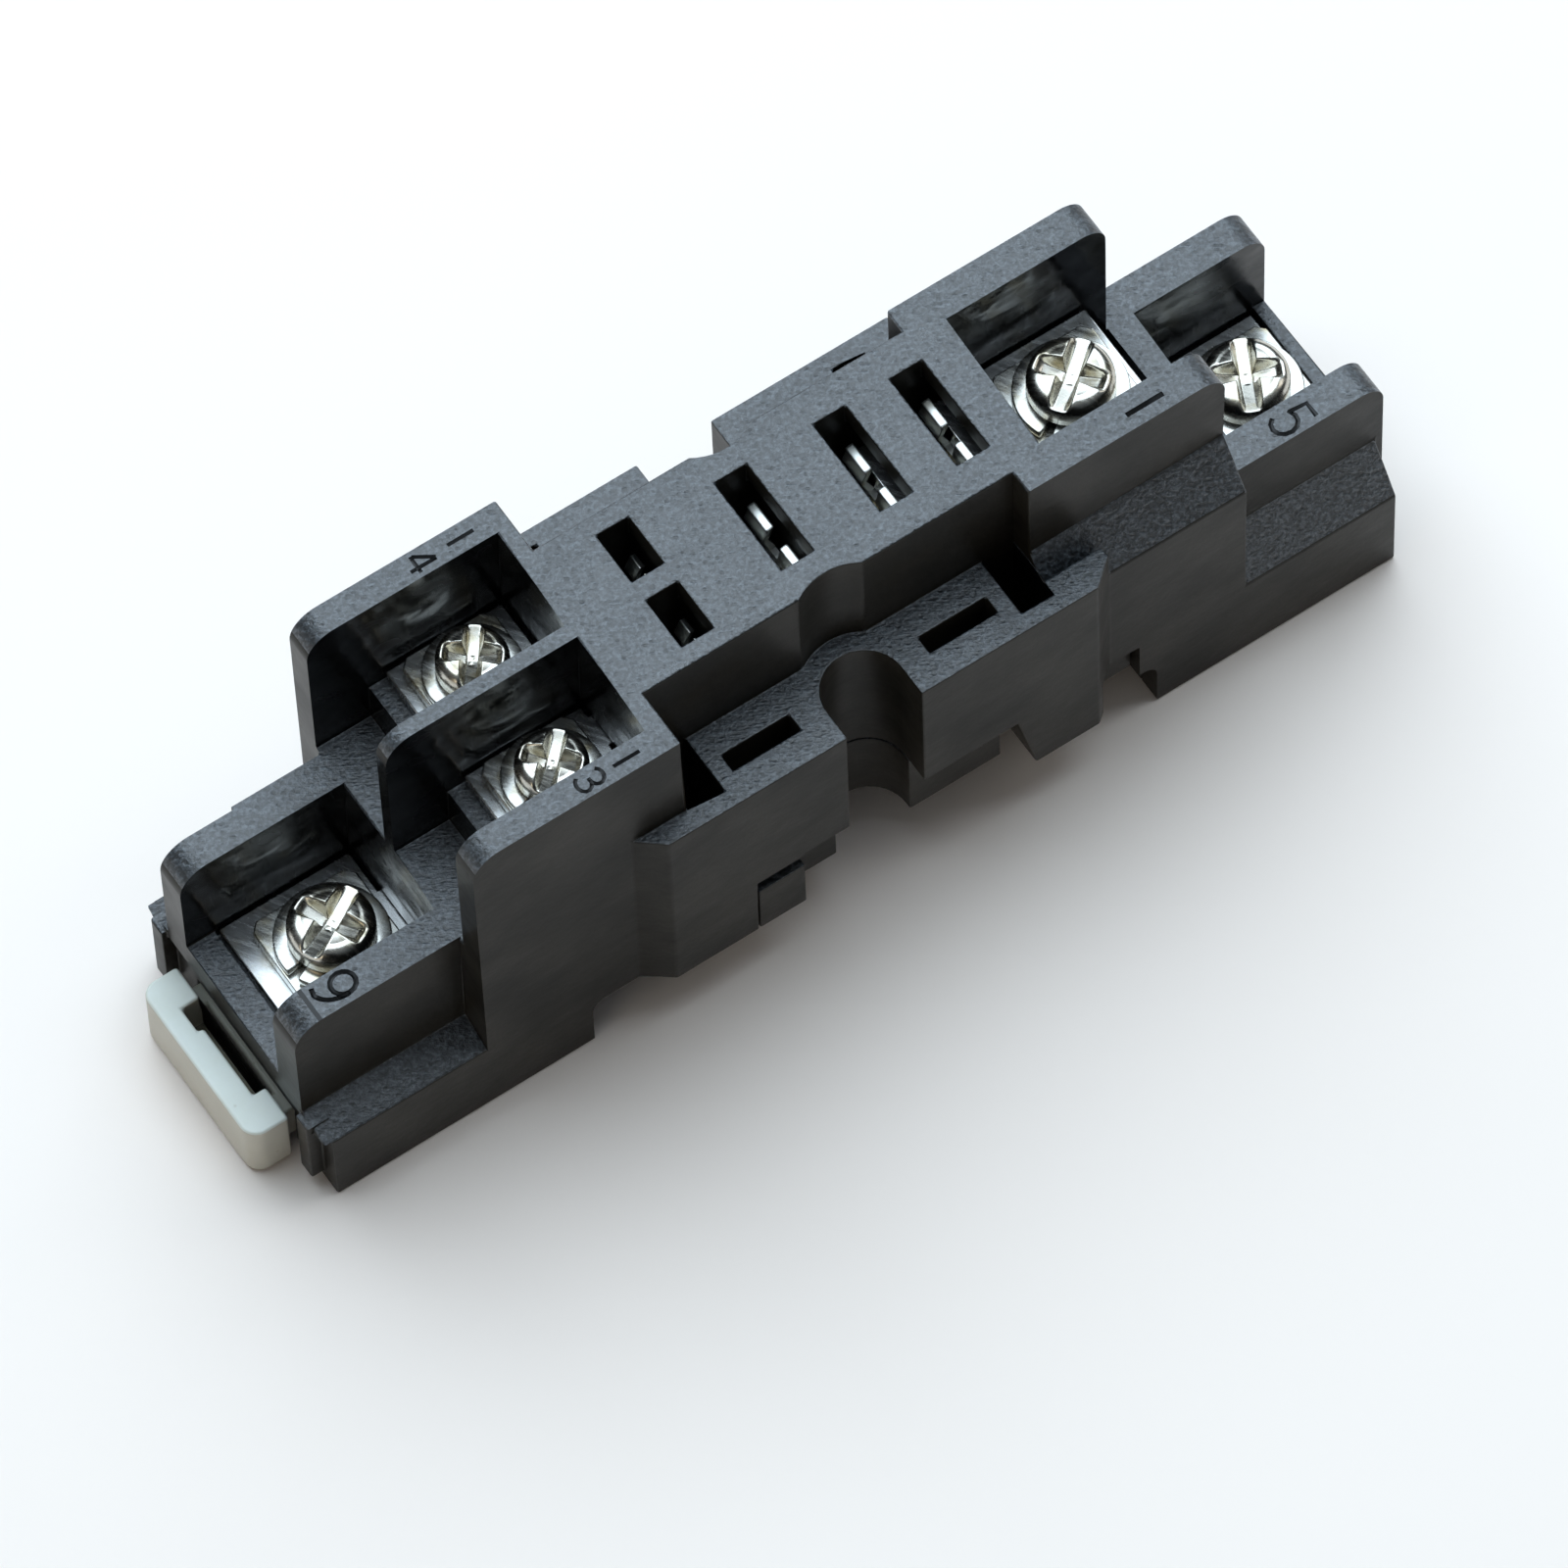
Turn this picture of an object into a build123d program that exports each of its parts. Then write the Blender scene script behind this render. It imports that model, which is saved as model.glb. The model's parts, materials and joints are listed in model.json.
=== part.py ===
from build123d import *
import os
from math import hypot

os.makedirs("parts", exist_ok=True)

# Relay socket for a 35 mm rail, in millimetres
# x runs along the socket, y across it, z up; z = 0 is the rail seat, x = 0 the middle of the rail

# Clearances
fit = 0.10            # between the two mouldings
loose = 0.15          # strip in its tunnel, washer on its screw
run = 0.05            # radial, screw shank in its collar
rest = 0.02           # under a stack that lifts off
seat_gap = 0.05       # plate over the floor of its bay
touch = 0.02          # clip against its leg

# Rail groove and the two hooks that hold the rail
rail_edge = 17.5      # half the width of the rail
groove_side = 0.3     # from the rail's edge to the foot
rail_sheet = 1.2      # the rail's thickness with play
groove_root = 0.9
hook_reach = 1.2
hook_t = 0.7
foot_depth = 3.8      # from the rail seat to the underside of the feet
seat_raise = 0.2      # the seat stands proud of the cover beside the hooks
seat_short = 1.6      # and ends short of them

# Lengths of the steps, outwards from the middle of the rail
plateau_left = 11.5
coil_wall = 1.0
coil_bay = 8.3
coil_sill = 3.4
low_bay_left = 10.1
plateau_right = 13.4
block_lead = 2.15     # the right block starts before the plateau ends
high_bay = 8.8
high_lip = 1.3
step_gap = 0.1
cross_wall = 1.5
low_bay_right = 8.5
sill = 1.75           # thickness of the left end's low sill
end_sill = 0.8        # the same at the right end
end_step = 0.5        # the lower body ends short of the towers
relief = 0.2          # in the outer face of the left terminal's far wall
relief_long = 4.6

# Half widths
body_half = 8.58
flange_half = 9.82
plateau_half = 5.1
tower_half = 6.5
bay_half = 4.4
coil_shell = 1.63     # thickness of the coil compartments' outer walls
divider_half = 0.45
side_wall = 1.4
end_wall = 1.2

# Heights
low_plate = 4.1       # top of the low terminals
step_up = 10.9        # from the low terminals to the high ones
low_walls = 7.1       # walls above the low terminals
high_walls = 7.0      # walls above the high terminals
flange_top = 14.8
skin_under = 0.1      # the side walls' lower edge over the rail seat
sill_drop = 0.2
end_sill_rise = 0.4
roof_t = 1.6
bay_floor = 1.05      # floor of a bay over the hollow below it
inner_room = 0.9      # room over the low strips
ledge_left = (2.0, 2.8)
ledge_high = (12.8, 15.6)
ledge_right = (2.8, 6.0)
end_round = 1.8
block_round = 1.7
right_round = 1.5

# Flanges
flange_reach = 13.3
flange_ramp = 1.5
pocket_end = 11.4
pocket_start = 9.2
pocket_out = 8.8
pocket_deep = 8.5
latch_start = 4.0
latch_end = 8.2
latch_mid = 7.5
latch_wide = 1.1
latch_deep = 6.5
notch_r = 2.3
notch_y = 7.95
sink_r = 3.45
raised = 5.35         # flange's underside beside the notches
raised_left = 8.15
raised_right = 8.2
raised_slant = 1.1
lug_long = 2.9
lug_window = 0.25
lug_rise = 3.9
lug_t = 3.25
right_lug_x = 13.9
right_lug_long = 2.8
right_lug_rise = 3.2

# Terminals
plate_t = 0.8
collar_wall = 0.7
collar_h = 1.2
contact_size = dict(thread=1.5, head_r=2.35, head_h=2.0, length=6.2, square=6.4, spring_r=3.1)
coil_size = dict(thread=1.3, head_r=1.95, head_h=1.9, length=5.6, square=5.7, spring_r=2.7)
square_t = 0.8
spring_t = 0.7
spring_split = 0.35
washer_sides = 32     # the spring washers are small and get few faces
plate_margin = 0.15
plate_front = 1.0     # the coil plates start behind the edge of their step
screw_9_in = 3.85     # screws, from the wall at the inner end of each bay
screw_5_in = 4.3
screw_1_in = 4.9
screw_coil_in = 3.85
tail_contact = 1.5
tail_coil = 1.0
leg_contact = 2.4
leg_coil = 1.3

# Relay slots, from the ends of the plateau
slot_long = 1.98
contact_slot = 3.1
coil_slot = 1.65
coil_slot_in = 4.1
coil_slot_y = 2.3
slot_9_in = 14.1
slot_5_in = 8.0
slot_1_in = 3.25

# Clips and rivets
clip_t = 0.35
clip_mid = 0.8        # each leaf's centre from the slot's centre
clip_grip = 0.42
clip_below = 1.3      # clip's mouth under the plateau's roof
clip_bend = 2.0
clip_tall = 5.7
clip_contact = 2.45
clip_coil = 1.15
gap_contact = 1.2     # between the two fingers of a leaf
gap_coil = 0.4
leg_short = 0.7
rivet_r = 0.5
rivet_head_r = 0.85
rivet_head_h = 0.3
rivet_sides = 12      # the rivets are small and get few faces
rivet_up = 1.0

# Release slide and its spring
tab_long = 2.4
tab_gap = 0.2
tab_half = 5.4
tab_top = 0.5
tab_low = -3.6
tab_round = 1.0
slide_half = 4.5
slide_top = -0.7
slide_t = 2.6
ear_gap = 1.0
ear_t = 1.1
ear_out = 0.35
ear_over = 0.6
ear_short = 1.0
slot_half = 3.15
slot_in = 0.8
slot_jog = 0.35
slot_floor = 1.2
wire_r = 0.18
coil_r = 1.1
turns = 4
spring_room = 9.2
post_t = 1.0
post_half = 1.3
post_in = 3.0
window_half = 1.6

# Stations along x that follow from the lengths
rail_half = rail_edge + groove_side
x_coil_wall = -plateau_left - coil_wall
x_step = x_coil_wall - coil_bay
x_block_l = x_step - coil_sill
x_left = x_block_l - low_bay_left
x_block_r = plateau_right - block_lead
x_step_r = plateau_right + high_bay
x_walls_r = x_step_r + high_lip
x_cross = x_walls_r + step_gap
x_bay_r = x_cross + cross_wall
x_right = x_bay_r + low_bay_right
x_in_l = x_left + end_step + end_wall
x_in_r = x_right - end_step - end_wall

# Levels that follow from the heights
z_foot = -foot_depth
z_low = low_plate
z_high = low_plate + step_up
z_low_top = z_low + low_walls
z_top = z_high + high_walls
z_low_floor = z_low - plate_t - seat_gap
z_high_floor = z_high - plate_t - seat_gap
z_cover = z_low_floor - bay_floor
z_hollow = z_low + inner_room
z_roof = z_top - roof_t
z_clip = z_roof - clip_below
z_rivet = z_high + rivet_up
in_half = body_half - side_wall
coil_half = body_half - coil_shell

# Terminals: number -> screw's place, height of its plate, size, and where its bay begins and ends
coil_y = (coil_half + divider_half) / 2
bay_9 = (x_left + sill, x_block_l)
bay_5 = (x_bay_r, x_right - end_sill)
bay_1 = (plateau_right, x_step_r)
bay_coil = (x_step + plate_front - plate_margin, x_coil_wall)
terminals = {
    "9": dict(x=x_block_l - screw_9_in, y=0.0, z=z_low, size=contact_size, bay=bay_9),
    "5": dict(x=x_bay_r + screw_5_in, y=0.0, z=z_low, size=contact_size, bay=bay_5),
    "1": dict(x=plateau_right + screw_1_in, y=0.0, z=z_high, size=contact_size, bay=bay_1),
    "14": dict(x=x_coil_wall - screw_coil_in, y=coil_y, z=z_high, size=coil_size, bay=bay_coil),
    "13": dict(x=x_coil_wall - screw_coil_in, y=-coil_y, z=z_high, size=coil_size, bay=bay_coil),
}

# Relay slots: terminal -> centre and half width
slots = {
    "9": (plateau_right - slot_9_in, 0.0, contact_slot),
    "5": (plateau_right - slot_5_in, 0.0, contact_slot),
    "1": (plateau_right - slot_1_in, 0.0, contact_slot),
    "14": (-plateau_left + coil_slot_in, coil_slot_y, coil_slot),
    "13": (-plateau_left + coil_slot_in, -coil_slot_y, coil_slot),
}


def side_of_leg(name):
    """1 if a clip's leg stands on its right, -1 if on its left: always towards its screw."""
    return 1 if terminals[name]["x"] > slots[name][0] else -1


def bar(x0, x1, half):
    """In a sketch: one rectangle across the middle plane."""
    with Locations(((x0 + x1) / 2, 0)):
        Rectangle(x1 - x0, 2 * half)


def twins(x0, x1, y0, y1):
    """In a sketch: a rectangle and its mirror image on the other side of the middle plane."""
    with Locations(((x0 + x1) / 2, 0)):
        with GridLocations(0, y0 + y1, 1, 2):
            Rectangle(x1 - x0, y1 - y0)


def notches(radius):
    """In a sketch: the two half-round notches, open to the sides."""
    with GridLocations(0, 2 * notch_y, 1, 2):
        Circle(radius)
    with GridLocations(0, 2 * notch_y + 4, 1, 2):
        Rectangle(2 * radius, 4)


def step(x0, x1, half, top, ledge=None):
    """One step of the body: its cross-section along x, with a sloping ledge on each side if it has one."""
    slope = [(body_half, ledge[0]), (half, ledge[1])] if ledge else []
    with BuildSketch(Plane.YZ.offset(x0)) as outline:
        with BuildLine():
            Polyline((0, z_foot), (body_half, z_foot), *slope, (half, top), (0, top), close=True)
        make_face()
        mirror(about=Plane.YZ)
    extrude(outline.sketch, amount=x1 - x0)


def top_edge(part, x, z):
    """The edge across the body at one end of a step's top."""
    across = part.edges().filter_by(Axis.Y)
    return across.filter_by_position(Axis.X, x - 0.01, x + 0.01).filter_by_position(Axis.Z, z - 0.01, z + 0.01)


def ribbon(points, thick):
    """Outline of a bent strip: the points are its centre line, thick its thickness."""
    left = []
    right = []
    last = len(points) - 1
    for i, (px, pz) in enumerate(points):
        before = points[max(i - 1, 0)]
        after = points[min(i + 1, last)]
        ax, az = px - before[0], pz - before[1]
        bx, bz = after[0] - px, after[1] - pz
        if i == 0:
            ax, az = bx, bz
        if i == last:
            bx, bz = ax, az
        la, lb = hypot(ax, az), hypot(bx, bz)
        na = (-az / la, ax / la)
        nb = (-bz / lb, bx / lb)
        mx, mz = na[0] + nb[0], na[1] + nb[1]
        scale = thick / (mx * na[0] + mz * na[1]) / 2
        left.append((px + mx * scale, pz + mz * scale))
        right.append((px - mx * scale, pz - mz * scale))
    return left + right[::-1]


# Housing: the upper moulding with the terminal walls, plateau, flanges and side walls
with BuildPart() as housing:
    step(x_left, x_block_l, tower_half, z_low_top, ledge_left)
    fillet(top_edge(housing, x_left, z_low_top), radius=end_round)
    step(x_block_l, -plateau_left, body_half, z_top)
    fillet(top_edge(housing, x_block_l, z_top), radius=block_round)
    step(-plateau_left, x_block_r, plateau_half, z_top, (flange_top, flange_top))
    step(x_block_r, x_walls_r, tower_half, z_top, ledge_high)
    step(x_walls_r, x_right, tower_half, z_low_top, ledge_right)
    fillet(top_edge(housing, x_walls_r, z_top), radius=right_round)
    fillet(top_edge(housing, x_right, z_low_top), radius=right_round)

    # Lower body set back under the towers at both ends
    with BuildSketch(Plane.XZ):
        with Locations((x_left, z_foot)):
            Rectangle(2 * end_step, 2 * (ledge_left[0] - z_foot))
        with Locations((x_right, z_foot)):
            Rectangle(2 * end_step, 2 * (ledge_right[0] - z_foot))
    extrude(amount=body_half + 1, both=True, mode=Mode.SUBTRACT)

    # Flanges with tapered ends
    with BuildSketch(Plane.XY.offset(skin_under)):
        with BuildLine():
            Polyline(
                (-flange_reach - flange_ramp, body_half - side_wall / 2),
                (-flange_reach - flange_ramp, body_half),
                (-flange_reach, flange_half),
                (flange_reach, flange_half),
                (flange_reach + flange_ramp, body_half),
                (flange_reach + flange_ramp, body_half - side_wall / 2),
                close=True,
            )
        make_face()
        mirror(about=Plane.XZ)
    extrude(amount=flange_top - skin_under)

    # Coil compartments, open to the left, over a lower shelf
    with BuildSketch(Plane.XY.offset(z_top)):
        twins(x_block_l - 1, x_coil_wall, divider_half, coil_half)
    extrude(amount=z_high_floor - z_top, mode=Mode.SUBTRACT)
    with BuildSketch(Plane.XY.offset(z_high_floor)):
        twins(x_block_l - 1, x_step, divider_half, coil_half)
    extrude(amount=z_low_top - z_high_floor, mode=Mode.SUBTRACT)

    # High compartment on the right, and the drop behind it
    with BuildSketch(Plane.XY.offset(z_top)):
        bar(plateau_right, x_walls_r + 1, bay_half)
    extrude(amount=z_high_floor - z_top, mode=Mode.SUBTRACT)
    with BuildSketch(Plane.XY.offset(z_high_floor)):
        bar(x_step_r, x_cross, bay_half)
    extrude(amount=z_low_top - low_walls / 2 - z_high_floor, mode=Mode.SUBTRACT)

    # Low compartments with a sill at each end
    with BuildSketch(Plane.XY.offset(z_low_top)):
        bar(*bay_9, bay_half)
        bar(*bay_5, bay_half)
    extrude(amount=z_low_floor - z_low_top, mode=Mode.SUBTRACT)
    with BuildSketch(Plane.XY.offset(z_low_top)):
        bar(x_left - 1, x_left + sill + 0.1, bay_half)
    extrude(amount=z_low - sill_drop - z_low_top, mode=Mode.SUBTRACT)
    with BuildSketch(Plane.XY.offset(z_low_top)):
        bar(x_right - end_sill - 0.1, x_right + 1, bay_half)
    extrude(amount=z_low + end_sill_rise - z_low_top, mode=Mode.SUBTRACT)

    # Hollow underside: over the feet, over the rail, and up under the coil and high terminals
    with BuildSketch(Plane.XY.offset(z_foot)):
        bar(x_in_l, x_in_r, in_half)
    extrude(amount=z_cover - z_foot, mode=Mode.SUBTRACT)
    with BuildSketch(Plane.XY.offset(z_foot)):
        bar(x_block_l + 0.9, x_step_r, in_half)
    extrude(amount=z_hollow - z_foot, mode=Mode.SUBTRACT)
    with BuildSketch(Plane.XY.offset(z_cover)):
        bar(x_block_l + 0.9, x_coil_wall - coil_wall, in_half)
    extrude(amount=z_low_top - 1.2 - z_cover, mode=Mode.SUBTRACT)
    with BuildSketch(Plane.XY.offset(z_cover)):
        bar(x_step + 1.2, x_coil_wall - coil_wall, coil_half)
        bar(plateau_right + 1, x_step_r - 1.2, tower_half - 1.2)
    extrude(amount=z_high_floor - bay_floor - z_cover, mode=Mode.SUBTRACT)

    # Relay slots in the roof and the contact cavities under them
    for name, (sx, sy, half) in slots.items():
        with BuildSketch(Plane.XY.offset(z_top)):
            with Locations((sx, sy)):
                Rectangle(slot_long, 2 * half)
        extrude(amount=-2 * roof_t, mode=Mode.SUBTRACT)
        near = clip_mid + clip_t + 0.3
        far = clip_mid + clip_t / 2 + touch + plate_t + rivet_head_h + 0.05
        with BuildSketch(Plane.XY.offset(z_roof)):
            with Locations((sx + side_of_leg(name) * (far - near) / 2, sy)):
                Rectangle(near + far, 2 * half)
        extrude(amount=z_hollow - 1 - z_roof, mode=Mode.SUBTRACT)

    # Tunnels of the terminal strips
    with BuildSketch(Plane.XY.offset(z_high + loose)):
        bar(slots["1"][0], plateau_right + 1, tail_contact + loose)
        twins(x_coil_wall - 1, slots["14"][0], coil_slot_y - tail_coil - loose, coil_slot_y + tail_coil + loose)
    extrude(amount=-plate_t - 2 * loose, mode=Mode.SUBTRACT)
    with BuildSketch(Plane.XY.offset(z_low + loose)):
        bar(x_block_l - 1, x_block_l + 1, tail_contact + loose)
        bar(x_step_r - 1, x_bay_r + 1, tail_contact + loose)
    extrude(amount=-plate_t - 2 * loose, mode=Mode.SUBTRACT)

    # Wells under the screws
    for t in terminals.values():
        with BuildSketch(Plane.XY.offset(t["z"] - plate_t)):
            with Locations((t["x"], t["y"])):
                Circle(t["size"]["thread"] + run + collar_wall + loose)
        extrude(amount=-4, mode=Mode.SUBTRACT)

    # Mounting notches and the round sinks over them
    with BuildSketch(Plane.XY.offset(z_foot)):
        notches(notch_r)
    extrude(amount=flange_top - z_foot + 1, mode=Mode.SUBTRACT)
    with BuildSketch(Plane.XY.offset(flange_top)):
        with GridLocations(0, 2 * notch_y, 1, 2):
            Circle(sink_r)
    extrude(amount=z_top - flange_top + 1, mode=Mode.SUBTRACT)

    # Raised underside beside the notches, and the rail groove with rounded roots
    with BuildSketch(Plane.XZ):
        with BuildLine():
            Polyline(
                (-raised_left, z_foot),
                (-raised_left, raised - lug_window),
                (-raised_left + lug_long, raised - lug_window),
                (-raised_left + lug_long, raised),
                (raised_right, raised),
                (raised_right + raised_slant, skin_under),
                (raised_right + raised_slant, z_foot),
                close=True,
            )
        make_face()
    extrude(amount=flange_half + 1, both=True, mode=Mode.SUBTRACT)
    with BuildSketch(Plane.XZ) as groove:
        with Locations((0, (skin_under + z_foot) / 2)):
            Rectangle(2 * rail_half, skin_under - z_foot)
        fillet(groove.vertices().group_by(Axis.Y)[-1], radius=groove_root)
        with Locations((0, z_foot)):
            Rectangle(2 * rail_half, groove_root)
    extrude(amount=flange_half + 1, both=True, mode=Mode.SUBTRACT)

    # Snap windows on the right
    with BuildSketch(Plane.XY.offset(right_lug_rise)):
        twins(right_lug_x, right_lug_x + right_lug_long, in_half - 1, flange_half + 1)
    extrude(amount=z_foot - right_lug_rise, mode=Mode.SUBTRACT)

    # Deep pockets and narrow latch slots in the flanges
    with BuildSketch(Plane.XY.offset(flange_top)):
        twins(-pocket_end, -pocket_start, plateau_half, pocket_out)
        twins(pocket_start, pocket_end - 0.2, plateau_half, pocket_out)
    extrude(amount=-pocket_deep, mode=Mode.SUBTRACT)
    with BuildSketch(Plane.XY.offset(flange_top)):
        twins(-latch_end, -latch_start, latch_mid - latch_wide / 2, latch_mid + latch_wide / 2)
        twins(latch_start, latch_end, latch_mid - latch_wide / 2, latch_mid + latch_wide / 2)
    extrude(amount=-latch_deep, mode=Mode.SUBTRACT)

    # The ramps of the right end are set back with the body below them
    with BuildSketch(Plane.XY.offset(z_foot)):
        twins(x_right - end_step, x_right + 1, tower_half, body_half + 1)
    extrude(amount=ledge_right[1] - z_foot, mode=Mode.SUBTRACT)

    # Relief in the far wall of the left terminal
    with BuildSketch(Plane.XY.offset(z_low_top)):
        with Locations((x_left + relief_long / 2 - 0.5, tower_half - relief + 0.5)):
            Rectangle(relief_long + 1, 1)
    extrude(amount=ledge_left[1] - z_low_top, mode=Mode.SUBTRACT)

    # Ears beside the release slide and the way out for it
    with BuildSketch(Plane.XY.offset(z_foot + ear_short)):
        twins(x_left - ear_out, x_left + end_step + 0.5, tab_half + ear_gap, tab_half + ear_gap + ear_t)
    extrude(amount=ledge_left[0] + ear_over - z_foot - ear_short)
    with BuildSketch(Plane.XY.offset(slide_top + fit)):
        bar(x_left - 1, x_in_l + 1, slide_half + fit)
    extrude(amount=z_foot - slide_top - 1, mode=Mode.SUBTRACT)
housing.part.label = "housing"

# Base cover: the lower moulding with the rail seat, fixed hook, slide guide and snap lugs
cover_top = z_cover - fit
cover_half = in_half - fit
slide_low = slide_top - slide_t
post_x = x_left + post_in
with BuildPart() as base_cover:
    # Side profile through the feet, the seat and the fixed hook
    with BuildSketch(Plane.XZ):
        with BuildLine():
            Polyline(
                (x_in_l + fit, cover_top),
                (x_in_l + fit, z_foot),
                (-rail_half, z_foot),
                (-rail_half, seat_raise),
                (-rail_half + seat_short + 0.3, seat_raise),
                (-rail_half + seat_short + 0.3, 0),
                (rail_half - seat_short - 0.3, 0),
                (rail_half - seat_short - 0.3, seat_raise),
                (rail_half, seat_raise),
                (rail_half, -rail_sheet),
                (rail_edge - hook_reach, -rail_sheet),
                (rail_edge - hook_reach, -rail_sheet - hook_t),
                (rail_half, -rail_sheet - hook_t - 1.5),
                (rail_half, z_foot),
                (x_in_r - fit, z_foot),
                (x_in_r - fit, cover_top),
                close=True,
            )
        make_face()
    extrude(amount=cover_half, both=True)
    # The hook is narrower than the cover
    with BuildSketch(Plane.XY.offset(-rail_sheet + 0.01)):
        twins(rail_edge - hook_reach - 1, rail_half, cover_half - 1.1, cover_half + 1)
    extrude(amount=z_foot + rail_sheet, mode=Mode.SUBTRACT)

    # Middle that shows beside the rail, with the lower halves of the notches
    with BuildSketch(Plane.XY):
        bar(-raised_left + lug_long + fit, raised_right - 0.15, flange_half - 1.5)
    extrude(amount=cover_top)
    with BuildSketch(Plane.XY):
        twins(-raised_left + lug_long + fit, raised_right - 0.15, plateau_half + fit, flange_half - 1.5)
    extrude(amount=raised - fit)

    # Snap lugs: flush with the flange on the left, set back on the right
    with BuildSketch(Plane.XY):
        twins(-raised_left + fit, -raised_left + lug_long + fit, flange_half - lug_t, flange_half - 0.07)
    extrude(amount=lug_rise)
    with BuildSketch(Plane.XY.offset(seat_raise)):
        twins(right_lug_x + fit, right_lug_x + right_lug_long - fit, cover_half - 0.6, body_half - 0.68)
    extrude(amount=right_lug_rise - 0.6 - seat_raise)

    with BuildSketch(Plane.XY.offset(z_foot)):
        notches(notch_r)
    extrude(amount=raised - z_foot + 1, mode=Mode.SUBTRACT)

    # Wells for the low screws
    for name in ("9", "5"):
        with BuildSketch(Plane.XY.offset(cover_top + 0.1)):
            with Locations((terminals[name]["x"], 0)):
                Circle(contact_size["thread"] + run + collar_wall + 0.2)
        extrude(amount=slide_top - fit - cover_top - 0.1, mode=Mode.SUBTRACT)

    # Guide of the slide with a lip on each side, and the post that holds its spring
    with BuildSketch(Plane.XY.offset(slide_top + fit)):
        bar(x_left, -rail_half + 1, slide_half + fit)
    extrude(amount=-slide_t - 2 * fit, mode=Mode.SUBTRACT)
    with BuildSketch(Plane.XY.offset(z_foot)):
        bar(x_left, -rail_half + 1, slide_half - 1.3)
    extrude(amount=slide_low - z_foot, mode=Mode.SUBTRACT)
    with BuildSketch(Plane.XY.offset(slide_low + fit)):
        bar(post_x, post_x + post_t, post_half)
    extrude(amount=slide_t + fit)

    # Cores in the right foot
    core_room = x_in_r - rail_half - 2
    with BuildSketch(Plane.XY.offset(z_foot)):
        with Locations(((rail_half + x_in_r) / 2 + 0.4, 0)):
            with GridLocations(core_room / 3, 0, 3, 1):
                Rectangle(core_room / 3 - 1.2, 2 * cover_half - 2.6)
    extrude(amount=foot_depth - 1, mode=Mode.SUBTRACT)
base_cover.part.label = "base_cover"

# Release slide: tab, plate and nose in one moulding
tab_in = x_left - tab_gap
nose_x = -rail_edge + 1.0
window_l = post_x - 0.3
spring_l = post_x + post_t + 0.05
window_r = spring_l + spring_room + 0.05
with BuildPart() as release_slide:
    with BuildSketch(Plane.XY.offset(tab_low)) as tab:
        bar(tab_in - tab_long, tab_in, tab_half)
        fillet(tab.vertices().group_by(Axis.X)[0], radius=tab_round)
    extrude(amount=tab_top - tab_low)
    with BuildSketch(Plane.XZ):
        with BuildLine():
            Polyline(
                (tab_in - 0.3, slide_top),
                (-rail_half - 0.4, slide_top),
                (-rail_half - 0.4, -rail_sheet),
                (nose_x, -rail_sheet),
                (nose_x, -rail_sheet - hook_t),
                (nose_x - 1.4, slide_low),
                (tab_in - 0.3, slide_low),
                close=True,
            )
        make_face()
    extrude(amount=slide_half, both=True)
    # Screwdriver slot with a step, and the spring's window
    with BuildSketch(Plane.XY.offset(tab_top)):
        bar(tab_in - slot_in, tab_in + 0.4, slot_half)
        with Locations((tab_in - slot_in, slot_half * 0.75)):
            Rectangle(2 * slot_jog, slot_half / 2)
    extrude(amount=tab_low + slot_floor - tab_top, mode=Mode.SUBTRACT)
    with BuildSketch(Plane.XY.offset(slide_top)):
        bar(window_l, window_r, window_half)
    extrude(amount=-slide_t, mode=Mode.SUBTRACT)
release_slide.part.label = "release_slide"

# Return spring of the slide, along x between the post and the window's end
spring_z = slide_top - slide_t / 2
with BuildPart() as slide_spring:
    with BuildLine() as coil:
        Helix(
            pitch=(spring_room - 2 * wire_r) / turns,
            height=spring_room - 2 * wire_r,
            radius=coil_r,
            center=(spring_l + wire_r, 0, spring_z),
            direction=(1, 0, 0),
        )
    with BuildSketch(Plane(origin=coil.line @ 0, z_dir=coil.line % 0)):
        RegularPolygon(wire_r, 4)
    sweep(path=coil.line, is_frenet=True)
slide_spring.part.label = "slide_spring"


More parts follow.
